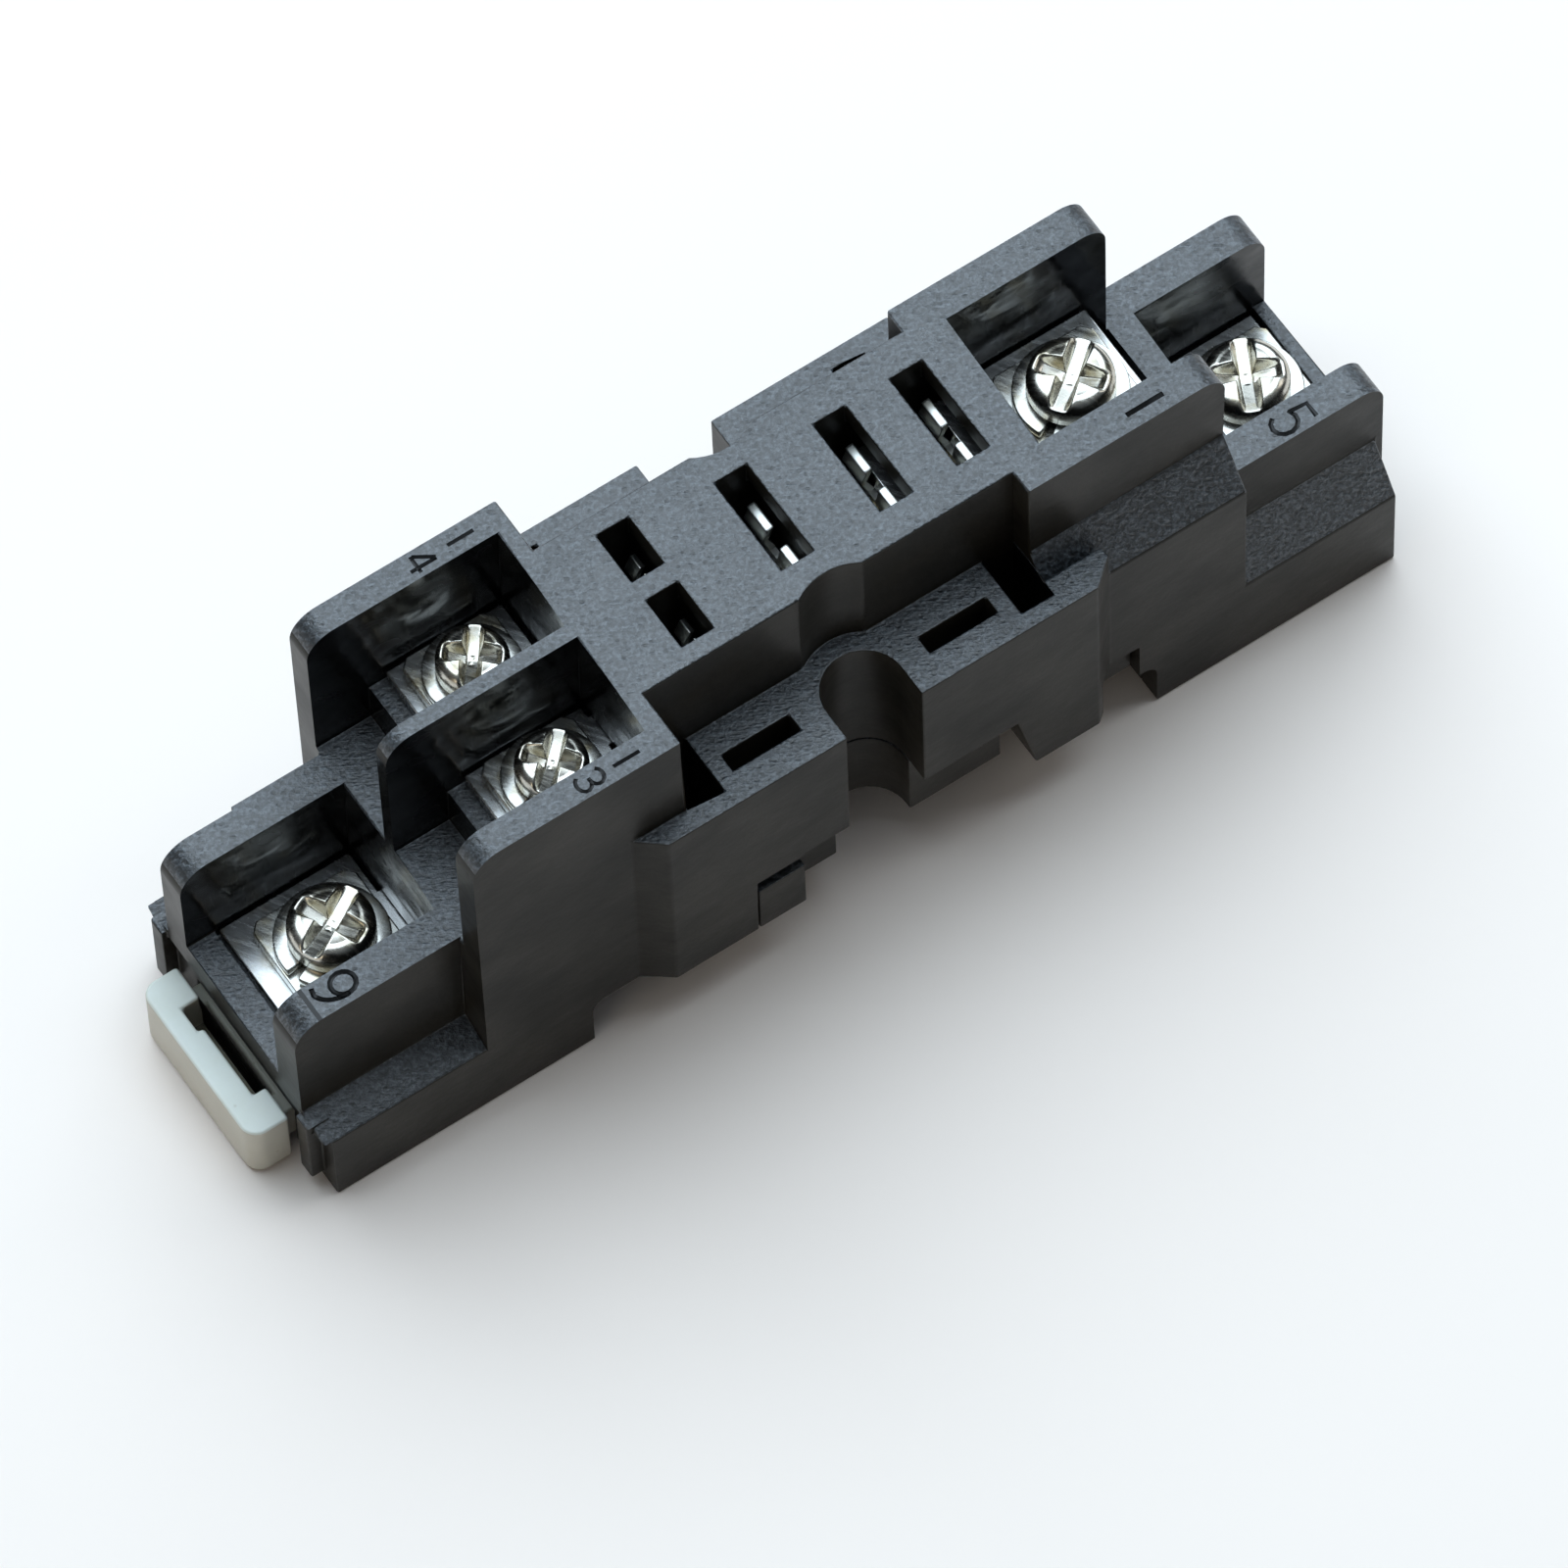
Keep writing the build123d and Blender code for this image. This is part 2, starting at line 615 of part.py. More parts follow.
def build_terminal(name):
    """Terminal of one screw: its plate with a threaded collar, its tail and the leg at the slot."""
    t = terminals[name]
    sx, sy, half = slots[name]
    size = t["size"]
    top = t["z"]
    toward = side_of_leg(name)
    hole = size["thread"] + run
    leg_face = sx + toward * (clip_mid + clip_t / 2 + touch)
    leg = leg_face + toward * plate_t / 2
    x0, x1 = t["bay"][0] + plate_margin, t["bay"][1] - plate_margin
    low, high = (-bay_half, bay_half) if sy == 0 else sorted((sy / abs(sy) * divider_half, sy / abs(sy) * coil_half))
    inner = x0 + 0.5 if toward > 0 else x1 - 0.5
    with BuildPart() as terminal:
        with BuildSketch(Plane.XY.offset(top)):
            with Locations(((x0 + x1) / 2, (low + high) / 2)):
                Rectangle(x1 - x0, high - low - 2 * plate_margin)
        extrude(amount=-plate_t)
        with BuildSketch(Plane.XY.offset(top - plate_t)):
            with Locations((t["x"], t["y"])):
                Circle(hole + collar_wall)
        extrude(amount=-collar_h)
        with BuildSketch(Plane.XZ.offset(-sy)):
            with Locations(((inner + leg) / 2, top - plate_t / 2)):
                Rectangle(abs(inner - leg), plate_t)
        extrude(amount=tail_contact if sy == 0 else tail_coil, both=True)
        with BuildSketch(Plane.XZ.offset(-sy)):
            with Locations((leg, (top - plate_t + z_clip - leg_short) / 2)):
                Rectangle(plate_t, z_clip - leg_short - top + plate_t)
        extrude(amount=leg_contact if sy == 0 else leg_coil, both=True)
        with BuildSketch(Plane.XY.offset(top)):
            with Locations((t["x"], t["y"])):
                Circle(hole)
        extrude(amount=-plate_t - collar_h, mode=Mode.SUBTRACT)
        with BuildSketch(Plane(origin=(leg, sy, z_rivet), z_dir=(1, 0, 0))):
            RegularPolygon(rivet_r + touch, rivet_sides)
        extrude(amount=plate_t, both=True, mode=Mode.SUBTRACT)
    return terminal


def build_clip(name):
    """Spring contact below one relay slot: a hairpin with split fingers."""
    sx, sy, half = slots[name]
    toward = side_of_leg(name)
    low = z_clip - clip_tall
    bend = z_clip - clip_bend
    grip = z_clip - clip_bend / 2
    with BuildPart() as clip:
        with BuildSketch(Plane.XZ.offset(-sy)):
            Polygon(
                *ribbon(
                    [
                        (sx - clip_mid, z_clip),
                        (sx - clip_grip, grip),
                        (sx - clip_mid, bend),
                        (sx - clip_mid, low),
                        (sx + clip_mid, low),
                        (sx + clip_mid, bend),
                        (sx + clip_grip, grip),
                        (sx + clip_mid, z_clip),
                    ],
                    clip_t,
                ),
                align=None,
            )
        extrude(amount=clip_contact if sy == 0 else clip_coil, both=True)
        with BuildSketch(Plane.XY.offset(z_clip)):
            with Locations((sx, sy)):
                Rectangle(4 * clip_mid, gap_contact if sy == 0 else gap_coil)
        extrude(amount=z_rivet + rivet_head_r + 0.15 - z_clip, mode=Mode.SUBTRACT)
        with BuildSketch(Plane(origin=(sx + toward * clip_mid, sy, z_rivet), z_dir=(1, 0, 0))):
            RegularPolygon(rivet_r + touch, rivet_sides)
        extrude(amount=clip_t, both=True, mode=Mode.SUBTRACT)
    return clip


def build_rivet(name):
    """Rivet that joins one clip to its leg: a shank with a flat head at each end."""
    sx, sy, half = slots[name]
    toward = side_of_leg(name)
    inside = sx + toward * (clip_mid - clip_t / 2)
    grip = clip_t + touch + plate_t
    with BuildPart() as rivet:
        with BuildSketch(Plane(origin=(inside, sy, z_rivet), z_dir=(toward, 0, 0))):
            RegularPolygon(rivet_r, rivet_sides)
        extrude(amount=grip)
        with BuildSketch(Plane(origin=(inside, sy, z_rivet), z_dir=(-toward, 0, 0))):
            RegularPolygon(rivet_head_r, rivet_sides)
        extrude(amount=rivet_head_h)
        with BuildSketch(Plane(origin=(inside + toward * grip, sy, z_rivet), z_dir=(toward, 0, 0))):
            RegularPolygon(rivet_head_r, rivet_sides)
        extrude(amount=rivet_head_h)
    return rivet


def build_square_washer(name):
    """Square clamp plate under one screw, with its corners cut."""
    t = terminals[name]
    with BuildPart() as washer:
        with BuildSketch(Plane.XY.offset(t["z"] + rest)) as outline:
            with Locations((t["x"], t["y"])):
                Rectangle(t["size"]["square"], t["size"]["square"])
            chamfer(outline.vertices(), length=0.5)
            with Locations((t["x"], t["y"])):
                Circle(t["size"]["thread"] + loose, mode=Mode.SUBTRACT)
        extrude(amount=square_t - rest)
    return washer


def build_spring_washer(name):
    """Split spring washer between the clamp plate and the screw's head."""
    t = terminals[name]
    outer = t["size"]["spring_r"]
    with BuildPart() as washer:
        with BuildSketch(Plane.XY.offset(t["z"] + square_t)):
            with Locations((t["x"], t["y"])):
                RegularPolygon(outer, washer_sides)
                RegularPolygon(t["size"]["thread"] + 2 * run, washer_sides, major_radius=False, mode=Mode.SUBTRACT)
            with Locations((t["x"] - outer * 0.75, t["y"] + outer * 0.3)):
                Rectangle(outer, spring_split, rotation=-20, mode=Mode.SUBTRACT)
        extrude(amount=spring_t)
    return washer


def build_screw(name):
    """Pan head screw with a cross recess and a slot that reaches the rim."""
    t = terminals[name]
    size = t["size"]
    thread = size["thread"]
    under = t["z"] + square_t + spring_t + rest
    top = under + size["head_h"]
    tip = under - size["length"]
    with BuildPart() as screw:
        with BuildSketch(Plane.XZ.offset(-t["y"])):
            with BuildLine():
                Polyline(
                    (t["x"], tip),
                    (t["x"] + thread, tip),
                    (t["x"] + thread, under),
                    (t["x"] + size["head_r"], under),
                    (t["x"] + size["head_r"], under + size["head_h"] * 0.55),
                    (t["x"] + size["head_r"] * 0.65, top),
                    (t["x"], top),
                    close=True,
                )
            make_face()
        revolve(axis=Axis((t["x"], t["y"], 0), (0, 0, 1)))
        with BuildSketch(Plane(origin=(t["x"], t["y"], top), x_dir=(0.9, 0.43, 0), z_dir=(0, 0, 1))):
            Rectangle(2 * size["head_r"] + 1, 0.85)
            Rectangle(0.95, size["head_r"] * 1.25)
        extrude(amount=-size["head_h"] * 0.45, mode=Mode.SUBTRACT)
    return screw


families = {
    "terminal": build_terminal,
    "contact_clip": build_clip,
    "rivet": build_rivet,
    "square_washer": build_square_washer,
    "spring_washer": build_spring_washer,
    "screw": build_screw,
}
for family, build in families.items():
    for name in terminals:
        made = build(name)
        made.part.label = f"{family}_{name}"
        export_step(made.part, f"parts/{family}_{name}.step")

export_step(housing.part, "parts/housing.step")
export_step(base_cover.part, "parts/base_cover.step")
export_step(release_slide.part, "parts/release_slide.step")
export_step(slide_spring.part, "parts/slide_spring.step")
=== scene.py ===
"""Relay socket for a 35 mm rail: finishes, fine shapes, light and camera.

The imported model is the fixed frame. The two mouldings, the slide and the bent strips are worked up from
their solids; screws, spring washers and the return spring come from small Geometry Nodes trees.
Lengths are in millimetres unless a name says otherwise.
"""

import json
import logging
import math
from dataclasses import dataclass, field
from enum import Enum
from typing import Any, Dict, List, Optional, Sequence, Tuple

import bmesh
import bpy
from mathutils import Matrix, Quaternion, Vector

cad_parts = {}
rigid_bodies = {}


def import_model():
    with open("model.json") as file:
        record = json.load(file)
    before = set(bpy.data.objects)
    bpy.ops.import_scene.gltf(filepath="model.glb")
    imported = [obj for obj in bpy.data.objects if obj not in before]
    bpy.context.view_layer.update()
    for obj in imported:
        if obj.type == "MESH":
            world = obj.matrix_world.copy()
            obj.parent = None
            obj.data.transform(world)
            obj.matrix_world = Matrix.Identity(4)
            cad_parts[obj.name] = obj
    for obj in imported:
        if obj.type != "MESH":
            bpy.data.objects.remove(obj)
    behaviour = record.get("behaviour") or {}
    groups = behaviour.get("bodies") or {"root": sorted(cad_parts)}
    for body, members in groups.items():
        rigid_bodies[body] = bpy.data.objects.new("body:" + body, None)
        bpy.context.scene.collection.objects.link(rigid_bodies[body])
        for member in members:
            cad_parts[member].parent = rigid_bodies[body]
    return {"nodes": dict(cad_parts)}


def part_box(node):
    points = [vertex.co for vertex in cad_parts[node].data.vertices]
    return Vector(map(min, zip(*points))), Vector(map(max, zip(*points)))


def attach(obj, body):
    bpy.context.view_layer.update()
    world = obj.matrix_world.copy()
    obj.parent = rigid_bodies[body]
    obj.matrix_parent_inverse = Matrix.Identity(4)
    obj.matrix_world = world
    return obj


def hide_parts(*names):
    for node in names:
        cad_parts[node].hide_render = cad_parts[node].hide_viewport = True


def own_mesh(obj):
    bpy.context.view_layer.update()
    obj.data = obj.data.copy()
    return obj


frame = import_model()

LOG = logging.getLogger("relay_socket")
MM = 0.001
# Faces that meet under FLAT_DEG are one flat face, and edges over EDGE_DEG are rounded.
FLAT_DEG = 0.4
EDGE_DEG = 28.0
Colour = Tuple[float, float, float]
Point = Tuple[float, float, float]
Flat = Tuple[float, float]


class Terminal(Enum):
    """The five screw terminals by their number."""

    T9 = "9"
    T5 = "5"
    T1 = "1"
    T14 = "14"
    T13 = "13"

    @property
    def clamp(self) -> str:
        """Body that lifts with the screw."""
        return f"clamp_{self.value}"

    @property
    def screw(self) -> str:
        """Body that turns with the screw."""
        return f"screw_{self.value}"

    @property
    def is_coil(self) -> bool:
        """True for the two small terminals."""
        return self in (Terminal.T14, Terminal.T13)


class Face(Enum):
    """Kinds of surface on the black mouldings, in the order of their material slots: GRAINED with a painted
    sheen, DRAWN with a painted reflection of the warm floor, WELL with painted shade.
    """

    GRAINED = 0
    DRAWN = 1
    WELL = 2


# Node graphs


class Graph:
    """A node tree that is filled in step by step."""

    def __init__(self, tree: bpy.types.NodeTree) -> None:
        """Keep the tree.

        Args:
            tree: the tree to fill.
        """
        self.tree = tree

    def add(self, kind: str, **values: Any) -> bpy.types.Node:
        """Add one node.

        Args:
            kind: the node's type.
            **values: properties of the node, or default values of its inputs with _ for a space.

        Returns:
            The new node.
        """
        node = self.tree.nodes.new(kind)
        for key, value in values.items():
            if hasattr(node, key):
                setattr(node, key, value)
            else:
                node.inputs[key.replace("_", " ")].default_value = value
        return node

    def join(self, source: bpy.types.Node, out: Any, target: bpy.types.Node, into: Any) -> None:
        """Link an output to an input.

        Args:
            source: node that gives the value.
            out: name or number of its output.
            target: node that takes the value.
            into: name or number of its input.
        """
        self.tree.links.new(source.outputs[out], target.inputs[into])


class Finish(Graph):
    """A procedural material on Object coordinates."""

    def __init__(self, name: str) -> None:
        """Make an empty material with its output and its surface shader.

        Args:
            name: the material's name.
        """
        self.material = bpy.data.materials.new(name)
        self.material.use_nodes = True
        super().__init__(self.material.node_tree)
        self.tree.nodes.clear()
        self.output = self.add("ShaderNodeOutputMaterial")
        self.shader = self.add("ShaderNodeBsdfPrincipled")
        self.join(self.shader, "BSDF", self.output, "Surface")
        self.coords = self.add("ShaderNodeTexCoord")

    def constant(self, **values: float) -> None:
        """Set inputs of the shader that are the same all over.

        Args:
            **values: their values, with _ for a space in the name.
        """
        for key, value in values.items():
            self.shader.inputs[key.replace("_", " ")].default_value = value

    def mapped(self, scale: Point, turn: Point = (0.0, 0.0, 0.0)) -> bpy.types.Node:
        """Object coordinates through a Mapping node.

        Args:
            scale: pattern scale along each axis, per millimetre.
            turn: rotation of the pattern in degrees.

        Returns:
            The Mapping node.
        """
        node = self.add("ShaderNodeMapping", vector_type="TEXTURE")
        node.inputs["Scale"].default_value = tuple(MM / s for s in scale)
        node.inputs["Rotation"].default_value = tuple(math.radians(a) for a in turn)
        self.join(self.coords, "Object", node, "Vector")
        return node

    def noise(
        self, scale: Point, detail: float = 3.0, rough: float = 0.55, turn: Point = (0.0, 0.0, 0.0)
    ) -> bpy.types.Node:
        """A noise pattern on Object coordinates.

        Args:
            scale: pattern scale along each axis, per millimetre.
            detail: octaves of the noise.
            rough: weight of the finer octaves.
            turn: rotation of the pattern in degrees.

        Returns:
            The noise node.
        """
        node = self.add("ShaderNodeTexNoise", Scale=1.0, Detail=detail, Roughness=rough)
        self.join(self.mapped(scale, turn), "Vector", node, "Vector")
        return node

    def cells(self, scale: Point, turn: Point = (0.0, 0.0, 0.0)) -> bpy.types.Node:
        """A pattern of cells on Object coordinates.

        Args:
            scale: cells along each axis, per millimetre.
            turn: rotation of the pattern in degrees.

        Returns:
            The Voronoi node.
        """
        node = self.add("ShaderNodeTexVoronoi", feature="F1", Scale=1.0)
        self.join(self.mapped(scale, turn), "Vector", node, "Vector")
        return node

    def ramp(self, source: bpy.types.Node, out: Any, stops: Sequence[Tuple[float, Colour]]) -> bpy.types.Node:
        """A colour ramp over one value.

        Args:
            source: node that gives the value.
            out: its output.
            stops: positions and colours.

        Returns:
            The ramp node.
        """
        node = self.add("ShaderNodeValToRGB")
        band = node.color_ramp
        while len(band.elements) < len(stops):
            band.elements.new(0.5)
        for element, (place, colour) in zip(band.elements, stops):
            element.position = place
            element.color = (*colour, 1.0)
        self.join(source, out, node, "Fac")
        return node

    def span(self, source: bpy.types.Node, out: Any, reads: Flat, gives: Flat) -> bpy.types.Node:
        """Map a value from one range to another, clamped.

        Args:
            source: node that gives the value.
            out: its output.
            reads: the range read.
            gives: the range given.

        Returns:
            The Map Range node.
        """
        node = self.add("ShaderNodeMapRange")
        pairs = (("From Min", reads[0]), ("From Max", reads[1]), ("To Min", gives[0]), ("To Max", gives[1]))
        for key, value in pairs:
            node.inputs[key].default_value = value
        self.join(source, out, node, "Value")
        return node

    def blend(self, factor: Any, one: Any, two: Any, mode: str = "MIX") -> Tuple[bpy.types.Node, int]:
        """Mix two colours.

        Args:
            factor: a number, or a node and its output.
            one: a colour, or a node and its output.
            two: a colour, or a node and its output.
            mode: how the colours mix.

        Returns:
            The Mix node and the number of its colour output.
        """
        node = self.add("ShaderNodeMix", data_type="RGBA", blend_type=mode)
        for value, place in ((factor, 0), (one, 6), (two, 7)):
            if isinstance(value, tuple) and isinstance(value[0], bpy.types.Node):
                self.join(value[0], value[1], node, place)
            elif isinstance(value, tuple):
                node.inputs[place].default_value = (*value, 1.0)
            else:
                node.inputs[place].default_value = value
        return node, 2

    def relief(
        self,
        source: bpy.types.Node,
        out: Any,
        height: float,
        strength: float,
        under: Optional[bpy.types.Node] = None,
    ) -> bpy.types.Node:
        """Relief from a value.

        Args:
            source: node that gives the height.
            out: its output.
            height: height of the relief in millimetres.
            strength: share of the relief that is used.
            under: an earlier relief that this one lies on.

        Returns:
            The Bump node.
        """
        node = self.add("ShaderNodeBump", Strength=strength, Distance=height * MM)
        self.join(source, out, node, "Height")
        if under is not None:
            self.join(under, "Normal", node, "Normal")
        return node

    def colour(self, pair: Tuple[bpy.types.Node, int]) -> None:
        """Use a mixed colour as the base colour.

        Args:
            pair: node and output of the colour.
        """
        self.join(pair[0], pair[1], self.shader, "Base Color")

    def height(self) -> bpy.types.Node:
        """Split the place along the axes.

        Returns:
            The node whose output Z is the height in metres.
        """
        node = self.add("ShaderNodeSeparateXYZ")
        self.join(self.coords, "Object", node, "Vector")
        return node

    def facing(self) -> bpy.types.Node:
        """Split the surface's direction along the axes.

        Returns:
            The node whose output Z is 1 on faces that look up.
        """
        normal = self.add("ShaderNodeNewGeometry")
        node = self.add("ShaderNodeSeparateXYZ")
        self.join(normal, "True Normal", node, "Vector")
        return node


# Finishes


@dataclass(frozen=True)
class GrainedBlackPaintedSheen:
    """Black moulded plastic with a spark-eroded grain, pits and flow streaks: the upward faces, lifted to a
    blue-grey painted sheen of the cool overhead light.
    """

    name: str = "grained_black_painted_sheen"
    # Grain tones lifted and tinted blue-grey: a painted sheen of the cool overhead light over the near-black
    # plastic.
    dark: Colour = (0.006, 0.008, 0.010)
    middle: Colour = (0.023, 0.029, 0.035)
    light: Colour = (0.064, 0.075, 0.086)
    grain: float = 4.0
    pit: float = 2.0
    gloss: float = 0.93

    def build(self) -> bpy.types.Material:
        """Make the material.

        Returns:
            The finished material.
        """
        f = Finish(self.name)
        f.constant(Specular_IOR_Level=self.gloss)
        grain = f.noise((self.grain, self.grain, self.grain), detail=4.0, rough=0.7)
        streak = f.noise((1.0, 6.0, 3.0), detail=4.0, rough=0.6, turn=(0.0, 0.0, -30.0))
        cloud = f.noise((0.22, 0.30, 0.22), detail=4.0, rough=0.55)
        pits = f.cells((self.pit, self.pit * 1.7, self.pit), turn=(0.0, 0.0, -30.0))
        depth = f.span(pits, "Distance", (0.08, 0.38), (0.0, 1.0))
        tone = f.ramp(grain, "Fac", [(0.42, self.dark), (0.50, self.middle), (0.59, self.light)])
        band = f.ramp(streak, "Fac", [(0.36, (0.35, 0.37, 0.4)), (0.64, (1.6, 1.6, 1.6))])
        streaked = f.blend(0.75, (tone, "Color"), (band, "Color"), "MULTIPLY")
        f.colour(f.blend(0.6, streaked, (depth, "Result"), "MULTIPLY"))
        f.join(f.span(cloud, "Fac", (0.3, 0.7), (0.27, 0.38)), "Result", f.shader, "Roughness")
        coarse = f.relief(streak, "Fac", 0.09, 0.5)
        fine = f.relief(grain, "Fac", 0.075, 0.8, under=coarse)
        f.join(f.relief(depth, "Result", 0.034, 0.65, under=fine), "Normal", f.shader, "Normal")
        return f.material


@dataclass(frozen=True)
class DrawnBlackPaintedReflection:
    """The same plastic on faces that leave the mould sideways: smoother, with drag marks, and tinted warm brown
    as a painted reflection of the warm floor.
    """

    name: str = "drawn_black_painted_reflection"
    # Warm brown tones: a painted reflection of the warm floor over the near-black plastic.
    dark: Colour = (0.0115, 0.0101, 0.0077)
    light: Colour = (0.0255, 0.0222, 0.0170)
    gloss: float = 0.17

    def build(self) -> bpy.types.Material:
        """Make the material.

        Returns:
            The finished material.
        """
        f = Finish(self.name)
        f.constant(Specular_IOR_Level=self.gloss)
        cloud = f.noise((0.16, 0.16, 0.22), detail=4.0, rough=0.5)
        grain = f.noise((6.5, 6.5, 4.0), detail=3.0, rough=0.6)
        drag = f.noise((3.0, 3.0, 0.25), detail=3.0, rough=0.5)
        tone = f.ramp(cloud, "Fac", [(0.34, self.dark), (0.66, self.light)])
        worn = f.ramp(grain, "Fac", [(0.38, (0.6, 0.6, 0.6)), (0.64, (1.35, 1.35, 1.35))])
        f.colour(f.blend(0.35, (tone, "Color"), (worn, "Color"), "MULTIPLY"))
        f.join(f.span(cloud, "Fac", (0.3, 0.7), (0.42, 0.30)), "Result", f.shader, "Roughness")
        coarse = f.relief(cloud, "Fac", 0.5, 0.25)
        marks = f.relief(drag, "Fac", 0.015, 0.3, under=coarse)
        f.join(f.relief(grain, "Fac", 0.012, 0.4, under=marks), "Normal", f.shader, "Normal")
        return f.material


@dataclass(frozen=True)
class WellBlackPaintedShade:
    """The same plastic inside the compartments, pockets and engraved strokes: glossy and slightly wavy, so the
    metal shows in it, and darkened to near black as painted shade.
    """

    name: str = "well_black_painted_shade"
    # Near-black tones: painted shade in the compartments, pockets and engraved strokes.
    dark: Colour = (0.0020, 0.0022, 0.0026)
    light: Colour = (0.0050, 0.0050, 0.0050)
    gloss: float = 0.30

    def build(self) -> bpy.types.Material:
        """Make the material.

        Returns:
            The finished material.
        """
        f = Finish(self.name)
        f.constant(Specular_IOR_Level=self.gloss)
        wave = f.noise((0.30, 0.30, 0.42), detail=2.0, rough=0.4)
        smear = f.noise((0.30, 0.30, 0.55), detail=2.0, rough=0.5, turn=(0.0, 24.0, 0.0))
        grain = f.noise((3.0, 3.0, 3.0), detail=3.0)
        tone = f.ramp(smear, "Fac", [(0.36, self.dark), (0.66, self.light)])
        worn = f.ramp(grain, "Fac", [(0.4, (0.8, 0.8, 0.8)), (0.62, (1.15, 1.15, 1.15))])
        f.colour(f.blend(0.3, (tone, "Color"), (worn, "Color"), "MULTIPLY"))
        f.join(f.span(smear, "Fac", (0.36, 0.62), (0.28, 0.12)), "Result", f.shader, "Roughness")
        coarse = f.relief(wave, "Fac", 0.35, 0.4)
        f.join(f.relief(grain, "Fac", 0.004, 0.25, under=coarse), "Normal", f.shader, "Normal")
        return f.material


@dataclass(frozen=True)
class PaleMouldingPaintedLight:
    """Pale grey-green moulded plastic of the release slide, painted lighter on the faces that look up, darker
    and warmer on its flanks as painted shade, and darker and warmer still down in its slot as painted shade.
    """

    name: str = "pale_moulding_painted_light"
    # Lit and shaded copies of one pale plastic: painted light on faces that look up, painted shade on the
    # flanks, and darker painted shade down in the slot.
    top: Colour = (0.73, 0.78, 0.73)
    shaded_flank: Colour = (0.56, 0.53, 0.45)
    depth: Colour = (0.15, 0.135, 0.085)

    def build(self) -> bpy.types.Material:
        """Make the material.

        Returns:
            The finished material.
        """
        f = Finish(self.name)
        f.constant(Specular_IOR_Level=0.45, Subsurface_Weight=0.12)
        f.shader.inputs["Subsurface Radius"].default_value = (0.8 * MM, 0.8 * MM, 0.6 * MM)
        cloud = f.noise((0.25, 0.25, 0.25), detail=5.0)
        grain = f.noise((5.0, 5.0, 5.0), detail=3.0)
        specks = f.cells((0.7, 0.7, 0.7))
        # Painted light and shade: faces that look up and lie near the top get the light colour, while lower
        # faces fade to the painted slot shade.
        upward = f.span(f.facing(), "Z", (0.25, 0.85), (0.0, 1.0))
        above_painted_shade = f.span(f.height(), "Z", (-0.9 * MM, 0.1 * MM), (0.0, 1.0))
        low = f.blend((above_painted_shade, "Result"), self.depth, self.shaded_flank)
        level = f.add("ShaderNodeMath", operation="MULTIPLY")
        f.join(upward, "Result", level, 0)
        f.join(above_painted_shade, "Result", level, 1)
        shaded_flank = f.blend((upward, "Result"), self.shaded_flank, low)
        lit_and_shaded = f.blend((level, 0), shaded_flank, self.top)
        patch = f.ramp(cloud, "Fac", [(0.3, (0.92, 0.91, 0.88)), (0.7, (1.05, 1.05, 1.06))])
        worn = f.blend(1.0, lit_and_shaded, (patch, "Color"), "MULTIPLY")
        speck = f.ramp(specks, "Distance", [(0.03, (0.72, 0.68, 0.6)), (0.09, (1.0, 1.0, 1.0))])
        f.colour(f.blend(0.6, worn, (speck, "Color"), "MULTIPLY"))
        f.join(f.span(cloud, "Fac", (0.3, 0.7), (0.36, 0.52)), "Result", f.shader, "Roughness")
        coarse = f.relief(cloud, "Fac", 0.25, 0.3)
        f.join(f.relief(grain, "Fac", 0.02, 0.35, under=coarse), "Normal", f.shader, "Normal")
        return f.material


@dataclass(frozen=True)
class BrightPlate:
    """Bright plated metal with soft dents, fine scratches and warm stains."""

    name: str
    bright: Colour = (0.60, 0.58, 0.52)
    stain: Colour = (0.42, 0.37, 0.26)
    smooth: float = 0.18
    dull: float = 0.28
    stain_from: float = 0.50
    dent: float = 0.03
    scratch: Point = (5.0, 0.5, 0.5)
    turn: float = 33.0

    def build(self) -> bpy.types.Material:
        """Make the material.

        Returns:
            The finished material.
        """
        f = Finish(self.name)
        f.constant(Metallic=1.0)
        cloud = f.noise((0.75, 0.75, 0.75), detail=5.0)
        fine = f.noise(self.scratch, detail=3.0, turn=(0.0, 0.0, self.turn))
        dents = f.noise((0.8, 0.8, 0.8), detail=1.0, rough=0.3)
        amount = f.span(cloud, "Fac", (self.stain_from, self.stain_from + 0.2), (0.0, 1.0))
        f.colour(f.blend((amount, "Result"), self.bright, self.stain))
        f.join(f.span(fine, "Fac", (0.35, 0.7), (self.smooth, self.dull)), "Result", f.shader, "Roughness")
        soft = f.relief(dents, "Fac", self.dent, 0.5)
        f.join(f.relief(fine, "Fac", 0.0012, 0.3, under=soft), "Normal", f.shader, "Normal")
        return f.material


@dataclass(frozen=True)
class StudioFloor:
    """Plain pale floor."""

    name: str = "studio_floor"
    base: Colour = (0.97, 0.885, 0.82)

    def build(self) -> bpy.types.Material:
        """Make the material.

        Returns:
            The finished material.
        """
        f = Finish(self.name)
        f.constant(Roughness=0.9, Specular_IOR_Level=0.2)
        cloud = f.noise((0.012, 0.012, 0.012), detail=3.0)
        shade = f.ramp(cloud, "Fac", [(0.3, tuple(c * 0.99 for c in self.base)), (0.7, self.base)])
        f.join(shade, "Color", f.shader, "Base Color")
        return f.material


def made(finish: Any) -> Any:
    """Field that holds the material of a finish, built with its palette.

    Args:
        finish: one of the finishes above.

    Returns:
        The dataclass field.
    """
    return field(default_factory=finish.build)


